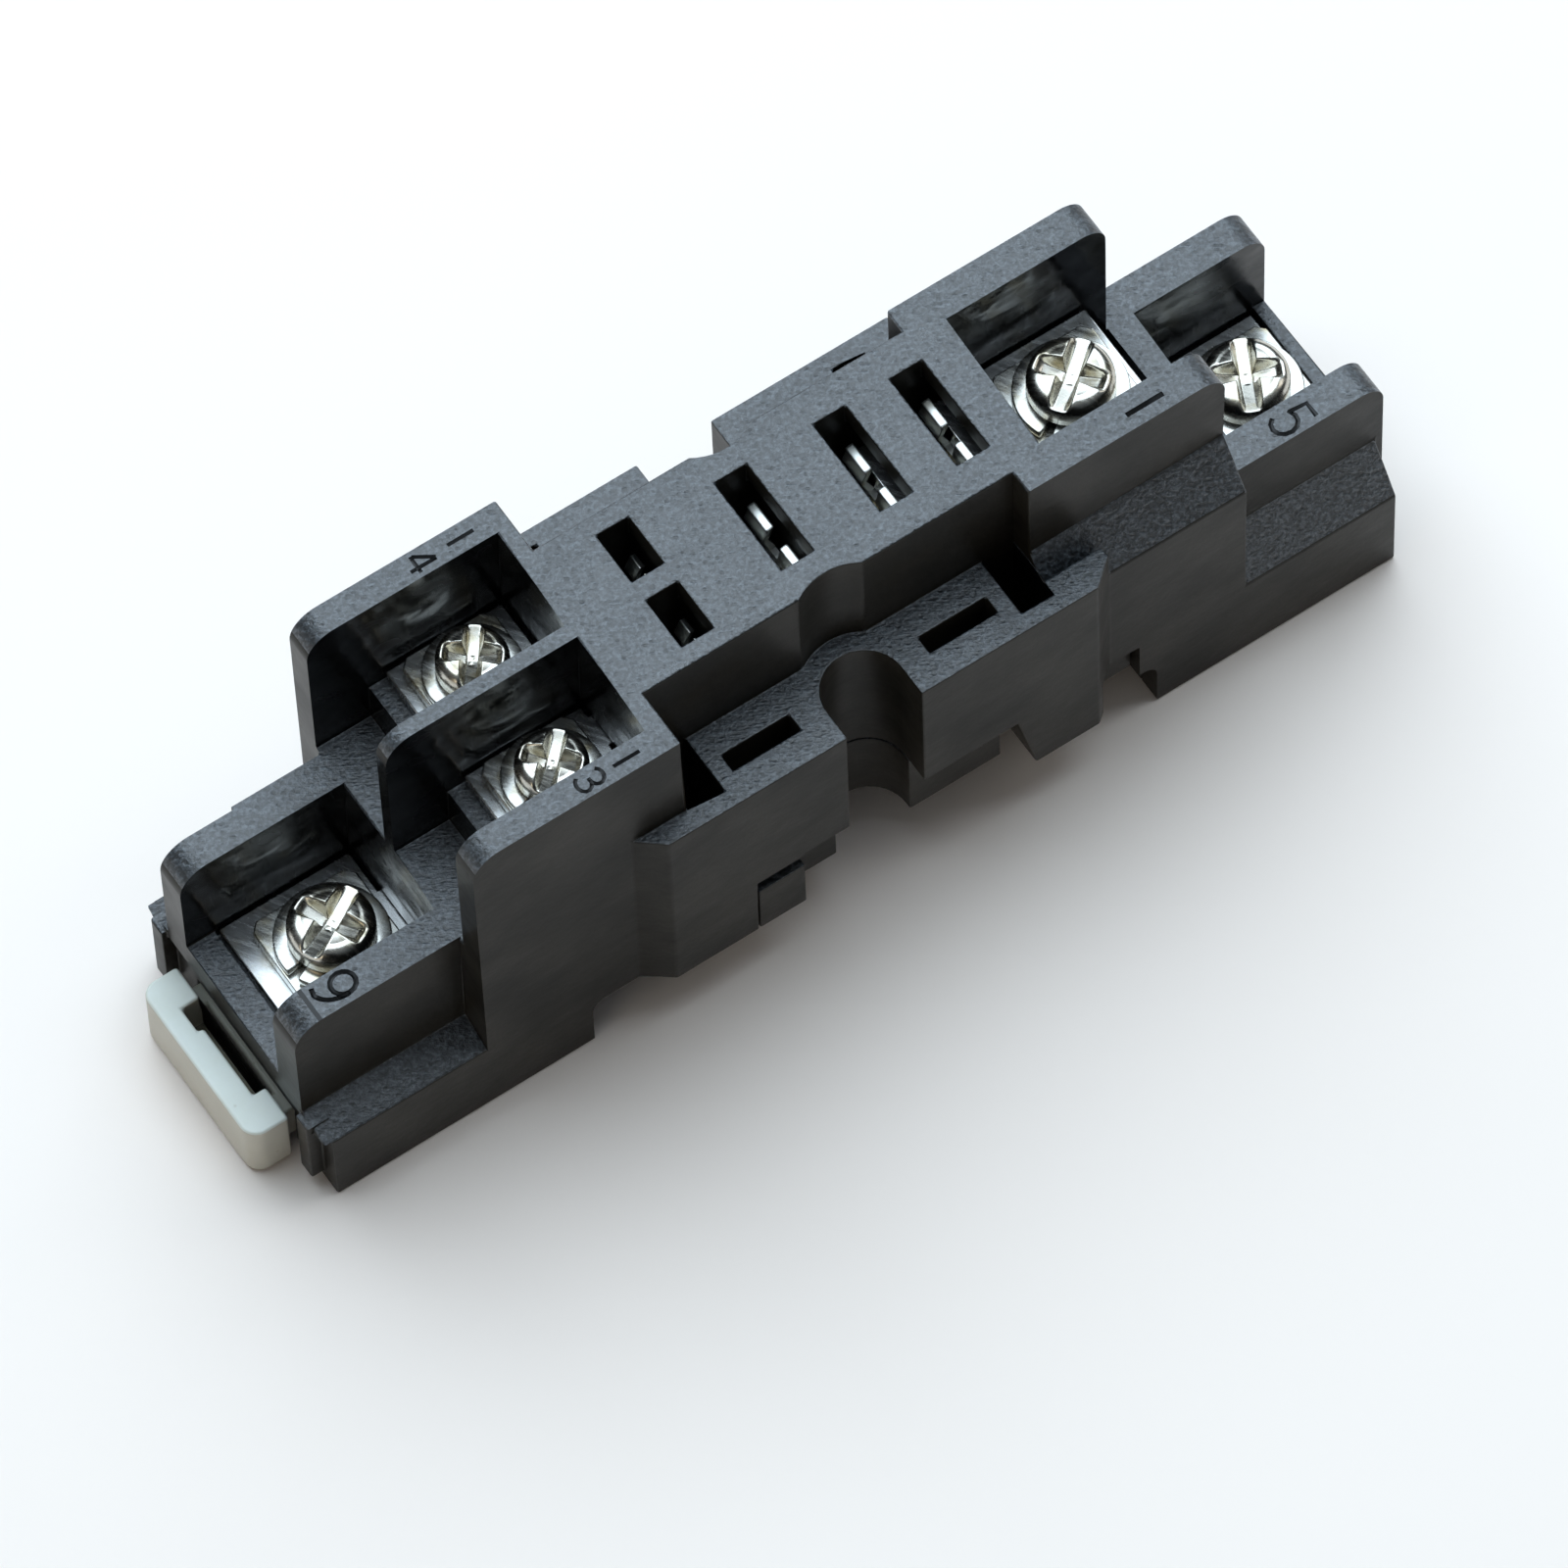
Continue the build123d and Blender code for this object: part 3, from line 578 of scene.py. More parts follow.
@dataclass
class Palette:
    """Every finish of the socket, each built once."""

    grained_sheen: bpy.types.Material = made(GrainedBlackPaintedSheen())
    drawn_reflection: bpy.types.Material = made(DrawnBlackPaintedReflection())
    well_shade: bpy.types.Material = made(WellBlackPaintedShade())
    pale: bpy.types.Material = made(PaleMouldingPaintedLight())
    screw: bpy.types.Material = made(BrightPlate("bright_screw", smooth=0.2, dull=0.32, dent=0.04))
    washer: bpy.types.Material = made(BrightPlate("bright_washer", (0.52, 0.52, 0.49), dull=0.30, dent=0.02))
    terminal: bpy.types.Material = made(
        BrightPlate("tinned_strip", (0.55, 0.56, 0.56), (0.44, 0.42, 0.37), smooth=0.2, dull=0.3, dent=0.015)
    )
    clip: bpy.types.Material = made(
        BrightPlate("plated_leaf", (0.72, 0.73, 0.70), (0.60, 0.57, 0.48), smooth=0.30, dull=0.36, dent=0.002)
    )
    rivet: bpy.types.Material = made(BrightPlate("brass_rivet", (0.76, 0.65, 0.42), smooth=0.25, dull=0.45))
    spring: bpy.types.Material = made(BrightPlate("spring_wire", (0.62, 0.62, 0.62), dent=0.004, dull=0.4))
    floor: bpy.types.Material = made(StudioFloor())

    @property
    def black(self) -> Sequence[bpy.types.Material]:
        """The three black surfaces, in the order of Face."""
        return (self.grained_sheen, self.drawn_reflection, self.well_shade)


# Mesh work


def new_object(name: str, mesh: bpy.types.Mesh) -> bpy.types.Object:
    """Put a mesh in the scene as an object at the origin.

    Args:
        name: the object's name.
        mesh: its mesh.

    Returns:
        The new object.
    """
    piece = bpy.data.objects.new(name, mesh)
    bpy.context.collection.objects.link(piece)
    return piece


def baked(piece: bpy.types.Object) -> bpy.types.Object:
    """Turn an object with modifiers into a plain mesh.

    Args:
        piece: the object; its modifiers are taken off.

    Returns:
        The same object with its evaluated mesh.
    """
    graph = bpy.context.evaluated_depsgraph_get()
    mesh = bpy.data.meshes.new_from_object(piece.evaluated_get(graph))
    piece.modifiers.clear()
    piece.data = mesh
    return piece


def closed_shape(mesh: bpy.types.Mesh) -> bmesh.types.BMesh:
    """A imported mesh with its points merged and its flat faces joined.

    Args:
        mesh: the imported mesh, which isn't changed.

    Returns:
        The closed shape, to be freed by the caller.
    """
    shape = bmesh.new()
    shape.from_mesh(mesh)
    bmesh.ops.remove_doubles(shape, verts=shape.verts, dist=0.002 * MM)
    flat = {"verts": shape.verts, "edges": shape.edges, "use_dissolve_boundaries": False}
    bmesh.ops.dissolve_limit(shape, angle_limit=math.radians(FLAT_DEG), **flat)
    return shape


def worked_copy(node: str, name: str, width: float, steps: int, shortest: float) -> bpy.types.Object:
    """A closed copy of a node's mesh with its flat faces joined and its edges rounded.

    Args:
        node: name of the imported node.
        name: name of the new piece.
        width: width of the rounding.
        steps: faces across the rounding.
        shortest: edges that touch one shorter than this stay sharp.

    Returns:
        The new object.
    """
    mesh = frame["nodes"][node].data.copy()
    mesh.materials.clear()
    shape = closed_shape(mesh)
    crowded = {v for e in shape.edges if e.calc_length() < shortest * MM for v in e.verts}
    edges = [
        e
        for e in shape.edges
        if len(e.link_faces) == 2
        and e.calc_face_angle(0.0) > math.radians(EDGE_DEG)
        and e.verts[0] not in crowded
        and e.verts[1] not in crowded
    ]
    bmesh.ops.bevel(
        shape,
        geom=edges,
        offset=width * MM,
        offset_type="OFFSET",
        segments=steps,
        profile=0.5,
        affect="EDGES",
        clamp_overlap=False,
    )
    bmesh.ops.remove_doubles(shape, verts=shape.verts, dist=0.001 * MM)
    shape.to_mesh(mesh)
    shape.free()
    for key in [a.name for a in mesh.attributes]:
        if key in ("sharp_edge", "sharp_face", "custom_normal"):
            mesh.attributes.remove(mesh.attributes[key])
    return new_object(name, mesh)


def smooth_over(piece: bpy.types.Object, angle_deg: float = 40.0) -> bpy.types.Object:
    """Smooth shading with flat faces kept flat, sharp over large angles.

    Args:
        piece: the object.
        angle_deg: edges sharper than this stay sharp.

    Returns:
        The same object.
    """
    mesh = piece.data
    for face in mesh.polygons:
        face.use_smooth = True
    shape = bmesh.new()
    shape.from_mesh(mesh)
    limit = math.radians(angle_deg)
    for edge in shape.edges:
        edge.smooth = len(edge.link_faces) == 2 and edge.calc_face_angle(0.0) < limit
    shape.to_mesh(mesh)
    shape.free()
    flatten = piece.modifiers.new("flat faces", "WEIGHTED_NORMAL")
    flatten.mode = "FACE_AREA"
    flatten.weight = 50
    flatten.keep_sharp = True
    return baked(piece)


def carve(piece: bpy.types.Object, tool: bpy.types.Object) -> bpy.types.Object:
    """Cut one closed mesh out of another and throw the tool away.

    Args:
        piece: the object that is cut.
        tool: the closed mesh that is taken out.

    Returns:
        The cut object.
    """
    cut = piece.modifiers.new("cut", "BOOLEAN")
    cut.operation = "DIFFERENCE"
    cut.solver = "EXACT"
    cut.use_self = True
    cut.object = tool
    baked(piece)
    bpy.data.objects.remove(tool)
    return piece


def merged(name: str, parts: Sequence[bpy.types.Mesh]) -> bpy.types.Mesh:
    """Several meshes as one.

    Args:
        name: name of the new mesh.
        parts: the meshes to put together.

    Returns:
        The new mesh.
    """
    shape = bmesh.new()
    for part in parts:
        shape.from_mesh(part)
    mesh = bpy.data.meshes.new(name)
    shape.to_mesh(mesh)
    shape.free()
    return mesh


def dress(
    piece: bpy.types.Object, finishes: Sequence[bpy.types.Material], slot: str, body: str, *nodes: str
) -> bpy.types.Object:
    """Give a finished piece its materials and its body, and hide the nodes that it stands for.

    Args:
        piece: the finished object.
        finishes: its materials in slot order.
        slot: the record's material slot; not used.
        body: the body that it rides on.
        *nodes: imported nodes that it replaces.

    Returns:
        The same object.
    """
    kept = [face.material_index for face in piece.data.polygons]
    piece.data.materials.clear()
    for finish in finishes:
        piece.data.materials.append(finish)
    for face, index in zip(piece.data.polygons, kept):
        face.material_index = min(index, len(finishes) - 1)
    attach(piece, body)
    if nodes:
        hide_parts(*nodes)
    LOG.info("%s: %d faces on %s", piece.name, len(piece.data.polygons), body)
    return piece


# Geometry Nodes trees


class Recipe(Graph):
    """A Geometry Nodes tree with named inputs that ends in Realize Instances and Set Material."""

    def __init__(self, name: str, sizes: Dict[str, str]) -> None:
        """Make the tree's interface and its last nodes.

        Args:
            name: the tree's name.
            sizes: names and socket types of its inputs.
        """
        super().__init__(bpy.data.node_groups.new(name, "GeometryNodeTree"))
        face = self.tree.interface
        face.new_socket("Geometry", in_out="INPUT", socket_type="NodeSocketGeometry")
        self.ids = {}
        for key, kind in {**sizes, "Finish": "NodeSocketMaterial"}.items():
            self.ids[key] = face.new_socket(key, in_out="INPUT", socket_type=kind).identifier
        face.new_socket("Geometry", in_out="OUTPUT", socket_type="NodeSocketGeometry")
        self.given = self.add("NodeGroupInput")
        self.result = self.add("NodeGroupOutput")
        self.realize = self.add("GeometryNodeRealizeInstances")
        self.paint = self.add("GeometryNodeSetMaterial")
        self.join(self.realize, 0, self.paint, 0)
        self.join(self.given, "Finish", self.paint, "Material")
        self.join(self.paint, 0, self.result, 0)

    def run(
        self, name: str, start: bpy.types.ID, finish: bpy.types.Material, sizes: Dict[str, Any]
    ) -> bpy.types.Mesh:
        """Run the tree once and keep the result as a plain mesh.

        Args:
            name: name of the mesh.
            start: mesh or curve data that the tree starts from.
            finish: material that the tree sets.
            sizes: values of its inputs by name.

        Returns:
            The finished mesh.
        """
        holder = bpy.data.objects.new(name, start)
        bpy.context.collection.objects.link(holder)
        modifier = holder.modifiers.new(name, "NODES")
        modifier.node_group = self.tree
        for key, value in {**sizes, "Finish": finish}.items():
            modifier[self.ids[key]] = value
        graph = bpy.context.evaluated_depsgraph_get()
        mesh = bpy.data.meshes.new_from_object(holder.evaluated_get(graph))
        mesh.name = name
        bpy.data.objects.remove(holder)
        return mesh


@dataclass(frozen=True)
class Winding:
    """Sizes of one spiral bar; wide and tall are the half axes of its section's circle."""

    turns: float
    radius: float
    rise: float
    wide: float
    tall: float
    steps: int
    sides: int
    roll_deg: float = 0.0

    def values(self) -> Dict[str, Any]:
        """Values for the tree's inputs.

        Returns:
            The values by name, in metres and radians.
        """
        return {
            "Turns": self.turns,
            "Radius": self.radius * MM,
            "Rise": self.rise * MM,
            "Wide": self.wide * MM,
            "Tall": self.tall * MM,
            "Roll": math.radians(self.roll_deg),
            "Steps": self.steps,
            "Sides": self.sides,
        }


class SpiralBar(Recipe):
    """A bar of any section along a spiral about Z: threads, spring washers and the return spring."""

    def __init__(self) -> None:
        """Build the tree."""
        floats = {key: "NodeSocketFloat" for key in ("Turns", "Radius", "Rise", "Wide", "Tall", "Roll")}
        super().__init__("spiral_bar", {**floats, "Steps": "NodeSocketInt", "Sides": "NodeSocketInt"})
        line = self.add("GeometryNodeCurveSpiral")
        ends = (("Radius", "Start Radius"), ("Radius", "End Radius"), ("Rise", "Height"))
        for key, into in (("Steps", "Resolution"), ("Turns", "Rotations"), *ends):
            self.join(self.given, key, line, into)
        upright = self.add("GeometryNodeSetCurveNormal", mode="Z_UP")
        self.join(line, 0, upright, 0)
        section = self.add("GeometryNodeCurvePrimitiveCircle", mode="RADIUS")
        section.inputs["Radius"].default_value = 1.0
        self.join(self.given, "Sides", section, "Resolution")
        turned = self.add("GeometryNodeTransform")
        roll = self.add("ShaderNodeCombineXYZ")
        self.join(self.given, "Roll", roll, "Z")
        self.join(section, 0, turned, 0)
        self.join(roll, 0, turned, "Rotation")
        shaped = self.add("GeometryNodeTransform")
        spread = self.add("ShaderNodeCombineXYZ")
        self.join(self.given, "Wide", spread, "X")
        self.join(self.given, "Tall", spread, "Y")
        spread.inputs["Z"].default_value = 1.0
        self.join(turned, 0, shaped, 0)
        self.join(spread, 0, shaped, "Scale")
        sweep = self.add("GeometryNodeCurveToMesh")
        sweep.inputs["Fill Caps"].default_value = True
        self.join(upright, 0, sweep, 0)
        self.join(shaped, 0, sweep, 1)
        self.join(sweep, 0, self.realize, 0)

    def wind(self, name: str, finish: bpy.types.Material, winding: Winding) -> bpy.types.Mesh:
        """Wind one bar up from the origin.

        Args:
            name: name of the mesh.
            finish: its material.
            winding: its sizes.

        Returns:
            The bar's mesh.
        """
        return self.run(name, bpy.data.meshes.new("none"), finish, winding.values())


class Turning(Recipe):
    """A turned part: the given outline in the XZ plane, swept round Z in a number of steps."""

    def __init__(self) -> None:
        """Build the tree."""
        super().__init__("turning", {"Steps": "NodeSocketInt"})
        ring = self.add("GeometryNodeCurvePrimitiveCircle", mode="RADIUS")
        ring.inputs["Radius"].default_value = 0.0001 * MM
        self.join(self.given, "Steps", ring, "Resolution")
        upright = self.add("GeometryNodeSetCurveNormal", mode="Z_UP")
        self.join(ring, 0, upright, 0)
        sweep = self.add("GeometryNodeCurveToMesh")
        self.join(upright, 0, sweep, 0)
        self.join(self.given, "Geometry", sweep, 1)
        poles = self.add("GeometryNodeMergeByDistance")
        poles.inputs["Distance"].default_value = 0.002 * MM
        self.join(sweep, 0, poles, 0)
        self.join(poles, 0, self.realize, 0)


def ramp_up(share: float) -> float:
    """Soft step from 0 to 1.

    Args:
        share: how far along the step; below 0 and above 1 it stays level.

    Returns:
        The height of the step there.
    """
    t = min(1.0, max(0.0, share))
    return t * t * (3 - 2 * t)


def outline_curve(points: Sequence[Flat]) -> bpy.types.Curve:
    """A poly curve through radius and height pairs, with the height along -Y as the sweep wants it.

    Args:
        points: radius and height of each point, in millimetres.

    Returns:
        The curve data.
    """
    curve = bpy.data.curves.new("outline", "CURVE")
    curve.dimensions = "3D"
    line = curve.splines.new("POLY")
    line.points.add(len(points) - 1)
    for spot, (r, z) in zip(line.points, points):
        spot.co = (r * MM, -z * MM, 0.0, 1.0)
    return curve


def outward(mesh: bpy.types.Mesh) -> bpy.types.Mesh:
    """Merge doubles and turn every face outwards.

    Args:
        mesh: a closed mesh.

    Returns:
        The same mesh.
    """
    shape = bmesh.new()
    shape.from_mesh(mesh)
    bmesh.ops.remove_doubles(shape, verts=shape.verts, dist=0.0005 * MM)
    bmesh.ops.recalc_face_normals(shape, faces=shape.faces)
    shape.to_mesh(mesh)
    shape.free()
    return mesh


# Studio


@dataclass
class Panel:
    """One soft rectangular light."""

    name: str
    place: Point
    target: Point
    size: Flat
    radiance: float
    colour: Colour

    def hang(self) -> None:
        """Put the light in the scene; its power follows from its size."""
        lamp = bpy.data.lights.new(self.name, "AREA")
        lamp.shape = "RECTANGLE"
        lamp.size, lamp.size_y = self.size[0] * MM, self.size[1] * MM
        lamp.energy = self.radiance * math.pi * lamp.size * lamp.size_y
        lamp.color = self.colour
        holder = bpy.data.objects.new(self.name, lamp)
        bpy.context.collection.objects.link(holder)
        holder.location = Vector(self.place) * MM
        holder.rotation_mode = "QUATERNION"
        holder.rotation_quaternion = (Vector(self.target) - Vector(self.place)).to_track_quat("-Z", "Y")


@dataclass
class Studio:
    """Floor, lights, sky and the camera of the photograph."""

    camera_at: Point = (-193.873, -317.704, 679.126)
    camera_turn: Tuple[float, float, float, float] = (0.92662381, 0.23821373, -0.06067232, -0.28450201)
    lens: float = 338.51
    floor_z: float = -3.82
    horizon: float = 0.03
    zenith: float = 0.22
    panels: Sequence[Panel] = (
        Panel("overhead", (110, 250, 520), (0, 0, 8), (860, 760), 3.3, (0.76, 0.89, 1.0)),
        Panel("left_front", (-460, -180, 150), (0, 0, 5), (240, 200), 1.4, (1.0, 0.88, 0.70)),
        Panel("right_back", (460, -120, 330), (0, 0, 5), (160, 200), 1.6, (1.0, 0.97, 0.92)),
    )

    def build(self, palette: Palette) -> None:
        """Make everything around the object.

        Args:
            palette: the finishes.
        """
        bpy.context.scene.view_settings.view_transform = "Standard"
        self.lay_floor(palette.floor)
        self.light_sky()
        for panel in self.panels:
            panel.hang()
        self.set_camera()

    def lay_floor(self, finish: bpy.types.Material) -> None:
        """Put a plain floor under the feet.

        Args:
            finish: the floor's material.
        """
        size = 4.0
        mesh = bpy.data.meshes.new("floor")
        corners = [(-size, -size), (size, -size), (size, size), (-size, size)]
        mesh.from_pydata([(x, y, self.floor_z * MM) for x, y in corners], [], [(0, 1, 2, 3)])
        floor = new_object("floor", mesh)
        mesh.materials.append(finish)

    def light_sky(self) -> None:
        """A dim surround that gets brighter towards the zenith."""
        world = bpy.data.worlds.new("studio")
        bpy.context.scene.world = world
        world.use_nodes = True
        sky = Graph(world.node_tree)
        back = world.node_tree.nodes["Background"]
        coords = sky.add("ShaderNodeTexCoord")
        split = sky.add("ShaderNodeSeparateXYZ")
        sky.join(coords, "Generated", split, "Vector")
        level = sky.add("ShaderNodeMapRange")
        rises = (("From Min", 0.15), ("From Max", 0.95))
        for key, value in (*rises, ("To Min", self.horizon), ("To Max", self.zenith)):
            level.inputs[key].default_value = value
        sky.join(split, "Z", level, "Value")
        sky.join(level, "Result", back, "Strength")
        back.inputs["Color"].default_value = (0.86, 0.93, 1.0, 1.0)

    def set_camera(self) -> None:
        """The photograph's camera, from its solved place and turn."""
        data = bpy.data.cameras.new("camera")
        data.sensor_width = 36.0
        data.lens = self.lens
        data.clip_start = 0.01
        data.clip_end = 20.0
        camera = bpy.data.objects.new("camera", data)
        bpy.context.collection.objects.link(camera)
        camera.rotation_mode = "QUATERNION"
        camera.location = Vector(self.camera_at) * MM
        camera.rotation_quaternion = Quaternion(self.camera_turn)
        bpy.context.scene.camera = camera


# Engraved numbers


def arc(centre: Flat, radius: Flat, start: float, end: float, steps: int = 9) -> List[Flat]:
    """Points along an arc in a digit's own square.

    Args:
        centre: its centre.
        radius: its half width and half height.
        start: first angle in degrees.
        end: last angle in degrees.
        steps: number of parts.

    Returns:
        The points.
    """
    angles = [math.radians(start + (end - start) * i / steps) for i in range(steps + 1)]
    return [(centre[0] + radius[0] * math.cos(a), centre[1] + radius[1] * math.sin(a)) for a in angles]


DIGITS: Dict[str, List[List[Flat]]] = {
    "1": [[(0.30, 0.0), (0.30, 1.0)]],
    "3": [arc((0.28, 0.74), (0.27, 0.25), 155, -90) + [(0.20, 0.49)], arc((0.28, 0.26), (0.29, 0.25), 88, -155)],
    "4": [[(0.46, 0.0), (0.46, 0.98)], [(0.43, 0.98), (0.02, 0.32)], [(0.0, 0.28), (0.64, 0.28)]],
    "5": [[(0.56, 1.0), (0.14, 1.0), (0.10, 0.58)] + arc((0.29, 0.32), (0.30, 0.31), 128, -150)],
    "9": [arc((0.30, 0.70), (0.28, 0.29), 0, 360, 14), arc((0.10, 0.62), (0.49, 0.62), 8, -78) + [(0.02, 0.06)]],
}


@dataclass
class Engraving:
    """Number cut into a wall's top; its digits stand along X, with the top towards +X."""

    glyphs: Sequence[Tuple[str, float]]
    y: float
    z: float
    tall: float
    wide: float
    line: float = 0.13

    def holds(self, spot: Vector) -> bool:
        """Tell whether a point lies in one of the grooves.

        Args:
            spot: the point in millimetres.

        Returns:
            True for a point just below the surface, within the number's square.
        """
        near = any(abs(spot.x - x) < 0.75 * self.tall for _, x in self.glyphs)
        return near and abs(spot.y - self.y) < 0.75 * self.wide and -self.line < spot.z - self.z < -0.004

    def tool(self) -> bpy.types.Mesh:
        """Make the cutter: one round bar along each stroke.

        Returns:
            The cutter's mesh.
        """
        curve = bpy.data.curves.new("strokes", "CURVE")
        curve.dimensions = "3D"
        curve.bevel_depth = self.line * MM
        curve.bevel_resolution = 2
        curve.use_fill_caps = True
        for digit, x in self.glyphs:
            for stroke in DIGITS[digit]:
                line = curve.splines.new("POLY")
                line.points.add(len(stroke) - 1)
                for spot, (u, v) in zip(line.points, stroke):
                    along, across = (v - 0.5) * self.tall, (u - 0.3) * self.wide
                    place = (x + along, self.y - across, self.z + self.line * 0.5)
                    spot.co = (*(c * MM for c in place), 1.0)
        holder = bpy.data.objects.new("strokes", curve)
        bpy.context.collection.objects.link(holder)
        graph = bpy.context.evaluated_depsgraph_get()
        mesh = bpy.data.meshes.new_from_object(holder.evaluated_get(graph))
        bpy.data.objects.remove(holder)
        return outward(mesh)


# Mouldings


@dataclass
class Moulding:
    """A black moulding: its solid with rounded edges and three kinds of surface, with a painted sheen, a painted
    reflection of the floor and painted shade.
    """

    node: str
    slot: str
    edge: float = 0.13
    shortest: float = 0.30
    steep: float = 0.45
    # Boxes whose faces get painted shade.
    wells: Dict[str, Tuple[Point, Point]] = field(default_factory=dict)
    numbers: Sequence[Engraving] = ()

    def build(self, palette: Palette) -> None:
        """Make and dress the moulding.

        Args:
            palette: the finishes.
        """
        piece = worked_copy(self.node, f"{self.node}_shell", self.edge, 2, self.shortest)
        if self.numbers:
            tool = merged("numbers", [n.tool() for n in self.numbers])
            carve(piece, new_object("numbers", tool))
        smooth_over(piece)
        self.sort_faces(piece.data)
        dress(piece, palette.black, self.slot, "base", self.node)

    def in_well(self, spot: Vector) -> bool:
        """Tell whether a point lies in one of the wells' boxes.

        Args:
            spot: the point in millimetres.

        Returns:
            True inside any of them.
        """
        return any(all(a <= c <= b for a, c, b in zip(low, spot, high)) for low, high in self.wells.values())

    def sort_faces(self, mesh: bpy.types.Mesh) -> None:
        """Give each face its kind of surface, and with it a painted sheen, a painted reflection of the floor or
        painted shade.

        Args:
            mesh: the moulding's mesh.
        """
        # Engraved strokes and faces in the boxes get painted shade, faces that look up the painted sheen, the
        # rest the painted reflection of the floor.
        for face in mesh.polygons:
            spot = face.center / MM
            if any(number.holds(spot) for number in self.numbers):
                kind = Face.WELL
            elif face.normal.z > self.steep:
                kind = Face.GRAINED
            elif self.in_well(spot):
                kind = Face.WELL
            else:
                kind = Face.DRAWN
            face.material_index = kind.value


def housing() -> Moulding:
    """The upper moulding with its compartments and numbers.

    Returns:
        The moulding.
    """
    low, high = 11.2, 22.0
    return Moulding(
        "housing",
        "housing",
        # Compartments and pockets whose faces get painted shade.
        wells={
            "compartment 9": ((-32.9, -4.6, 3.0), (-24.0, 4.6, 12.0)),
            "compartment 5": ((24.9, -4.6, 3.0), (33.2, 4.6, 12.0)),
            "compartment 1": ((13.3, -4.6, 9.0), (23.8, 4.6, 22.5)),
            "compartments 14 and 13": ((-24.0, -7.05, 9.0), (-12.3, 7.05, 22.5)),
            "left flange pockets": ((-11.6, -9.0, 6.0), (-9.0, 9.0, 14.7)),
            "right flange pockets": ((9.0, -9.0, 6.0), (11.6, 9.0, 14.7)),
        },
        numbers=(
            Engraving((("9", -31.0),), -5.35, low, 2.4, 2.3, 0.18),
            Engraving((("5", 28.4),), -5.55, low, 2.4, 2.2, 0.17),
            Engraving((("1", 19.1),), -5.6, high, 2.3, 2.0, 0.19),
            Engraving((("1", -14.3), ("3", -16.5)), -7.78, high, 1.6, 1.7, 0.14),
            Engraving((("1", -14.2), ("4", -16.6)), 7.78, high, 1.6, 1.7, 0.14),
        ),
    )


@dataclass
class ReleaseSlide:
    """The pale slide with its screwdriver slot."""

    edge: float = 0.2

    def build(self, palette: Palette) -> None:
        """Make and dress the slide.

        Args:
            palette: the finishes.
        """
        piece = worked_copy("release_slide", "slide_moulding", self.edge, 3, 0.1)
        smooth_over(piece)
        dress(piece, [palette.pale], "release_slide", "slide", "release_slide")


@dataclass
class ReturnSpring:
    """The slide's return spring, wound along X between its stops."""

    turns: float = 9.0
    wire: float = 0.17
    outer: float = 1.2

    def build(self, palette: Palette, spiral: SpiralBar) -> None:
        """Make and dress the spring.

        Args:
            palette: the finishes.
            spiral: the tree that winds it.
        """
        low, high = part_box("slide_spring")
        length = (high.x - low.x) / MM - 2 * self.wire
        coil = Winding(self.turns, self.outer - self.wire, length, self.wire, self.wire, steps=20, sides=8)
        mesh = spiral.wind("return_spring", palette.spring, coil)
        start = Vector((low.x + self.wire * MM, (low.y + high.y) / 2, (low.z + high.z) / 2))
        mesh.transform(Matrix.Translation(start) @ Matrix.Rotation(math.radians(90), 4, "Y"))
        piece = new_object("return_spring", outward(mesh))
        smooth_over(piece)
        dress(piece, [palette.spring], "spring", "base", "slide_spring")
        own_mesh(piece)


# Screw hardware


@dataclass(frozen=True)
class ScrewSize:
    """Sizes of one kind of screw with its spring washer; head, shank and ring are radii."""

    head: float
    head_tall: float
    shank: float
    pitch: float
    slot: float
    ring: float


CONTACT_SCREW = ScrewSize(head=2.35, head_tall=2.0, shank=1.5, pitch=0.5, slot=0.80, ring=3.1)
COIL_SCREW = ScrewSize(head=1.95, head_tall=1.9, shank=1.3, pitch=0.45, slot=0.72, ring=2.7)


# Depth of the recess in its middle, and widths of its sloping side walls and arm ends.
RECESS_DEPTH = 1.22
WALL_WIDTH = 0.34
END_WIDTH = 0.45


@dataclass(frozen=True)
class Trough:
    """One arm of the recess: its width in slots, its depth at the rim and its reach in head radii."""

    wide: float
    end: float
    reach: float

    def press(self, size: ScrewSize, along: float, across: float, top: float) -> float:
        """Height of the head's top where this arm has been pressed in.

        Args:
            size: the screw's sizes.
            along: distance from the middle along the arm.
            across: distance from its middle line.
            top: height of the plain head there.

        Returns:
            The height after pressing.
        """
        inside = ramp_up((size.slot * self.wide / 2 - abs(across)) / WALL_WIDTH + 0.5)
        inside *= ramp_up((size.head * self.reach - abs(along)) / END_WIDTH)
        share = min(1.0, abs(along) / (size.head * 0.95))
        depth = self.end + (RECESS_DEPTH - self.end) * (1.0 - share**1.25)
        return top + min(0.0, size.head_tall - depth - top) * inside


SLOT_ARM = Trough(wide=1.22, end=0.72, reach=1.3)
CROSS_ARM = Trough(wide=1.12, end=0.50, reach=0.88)


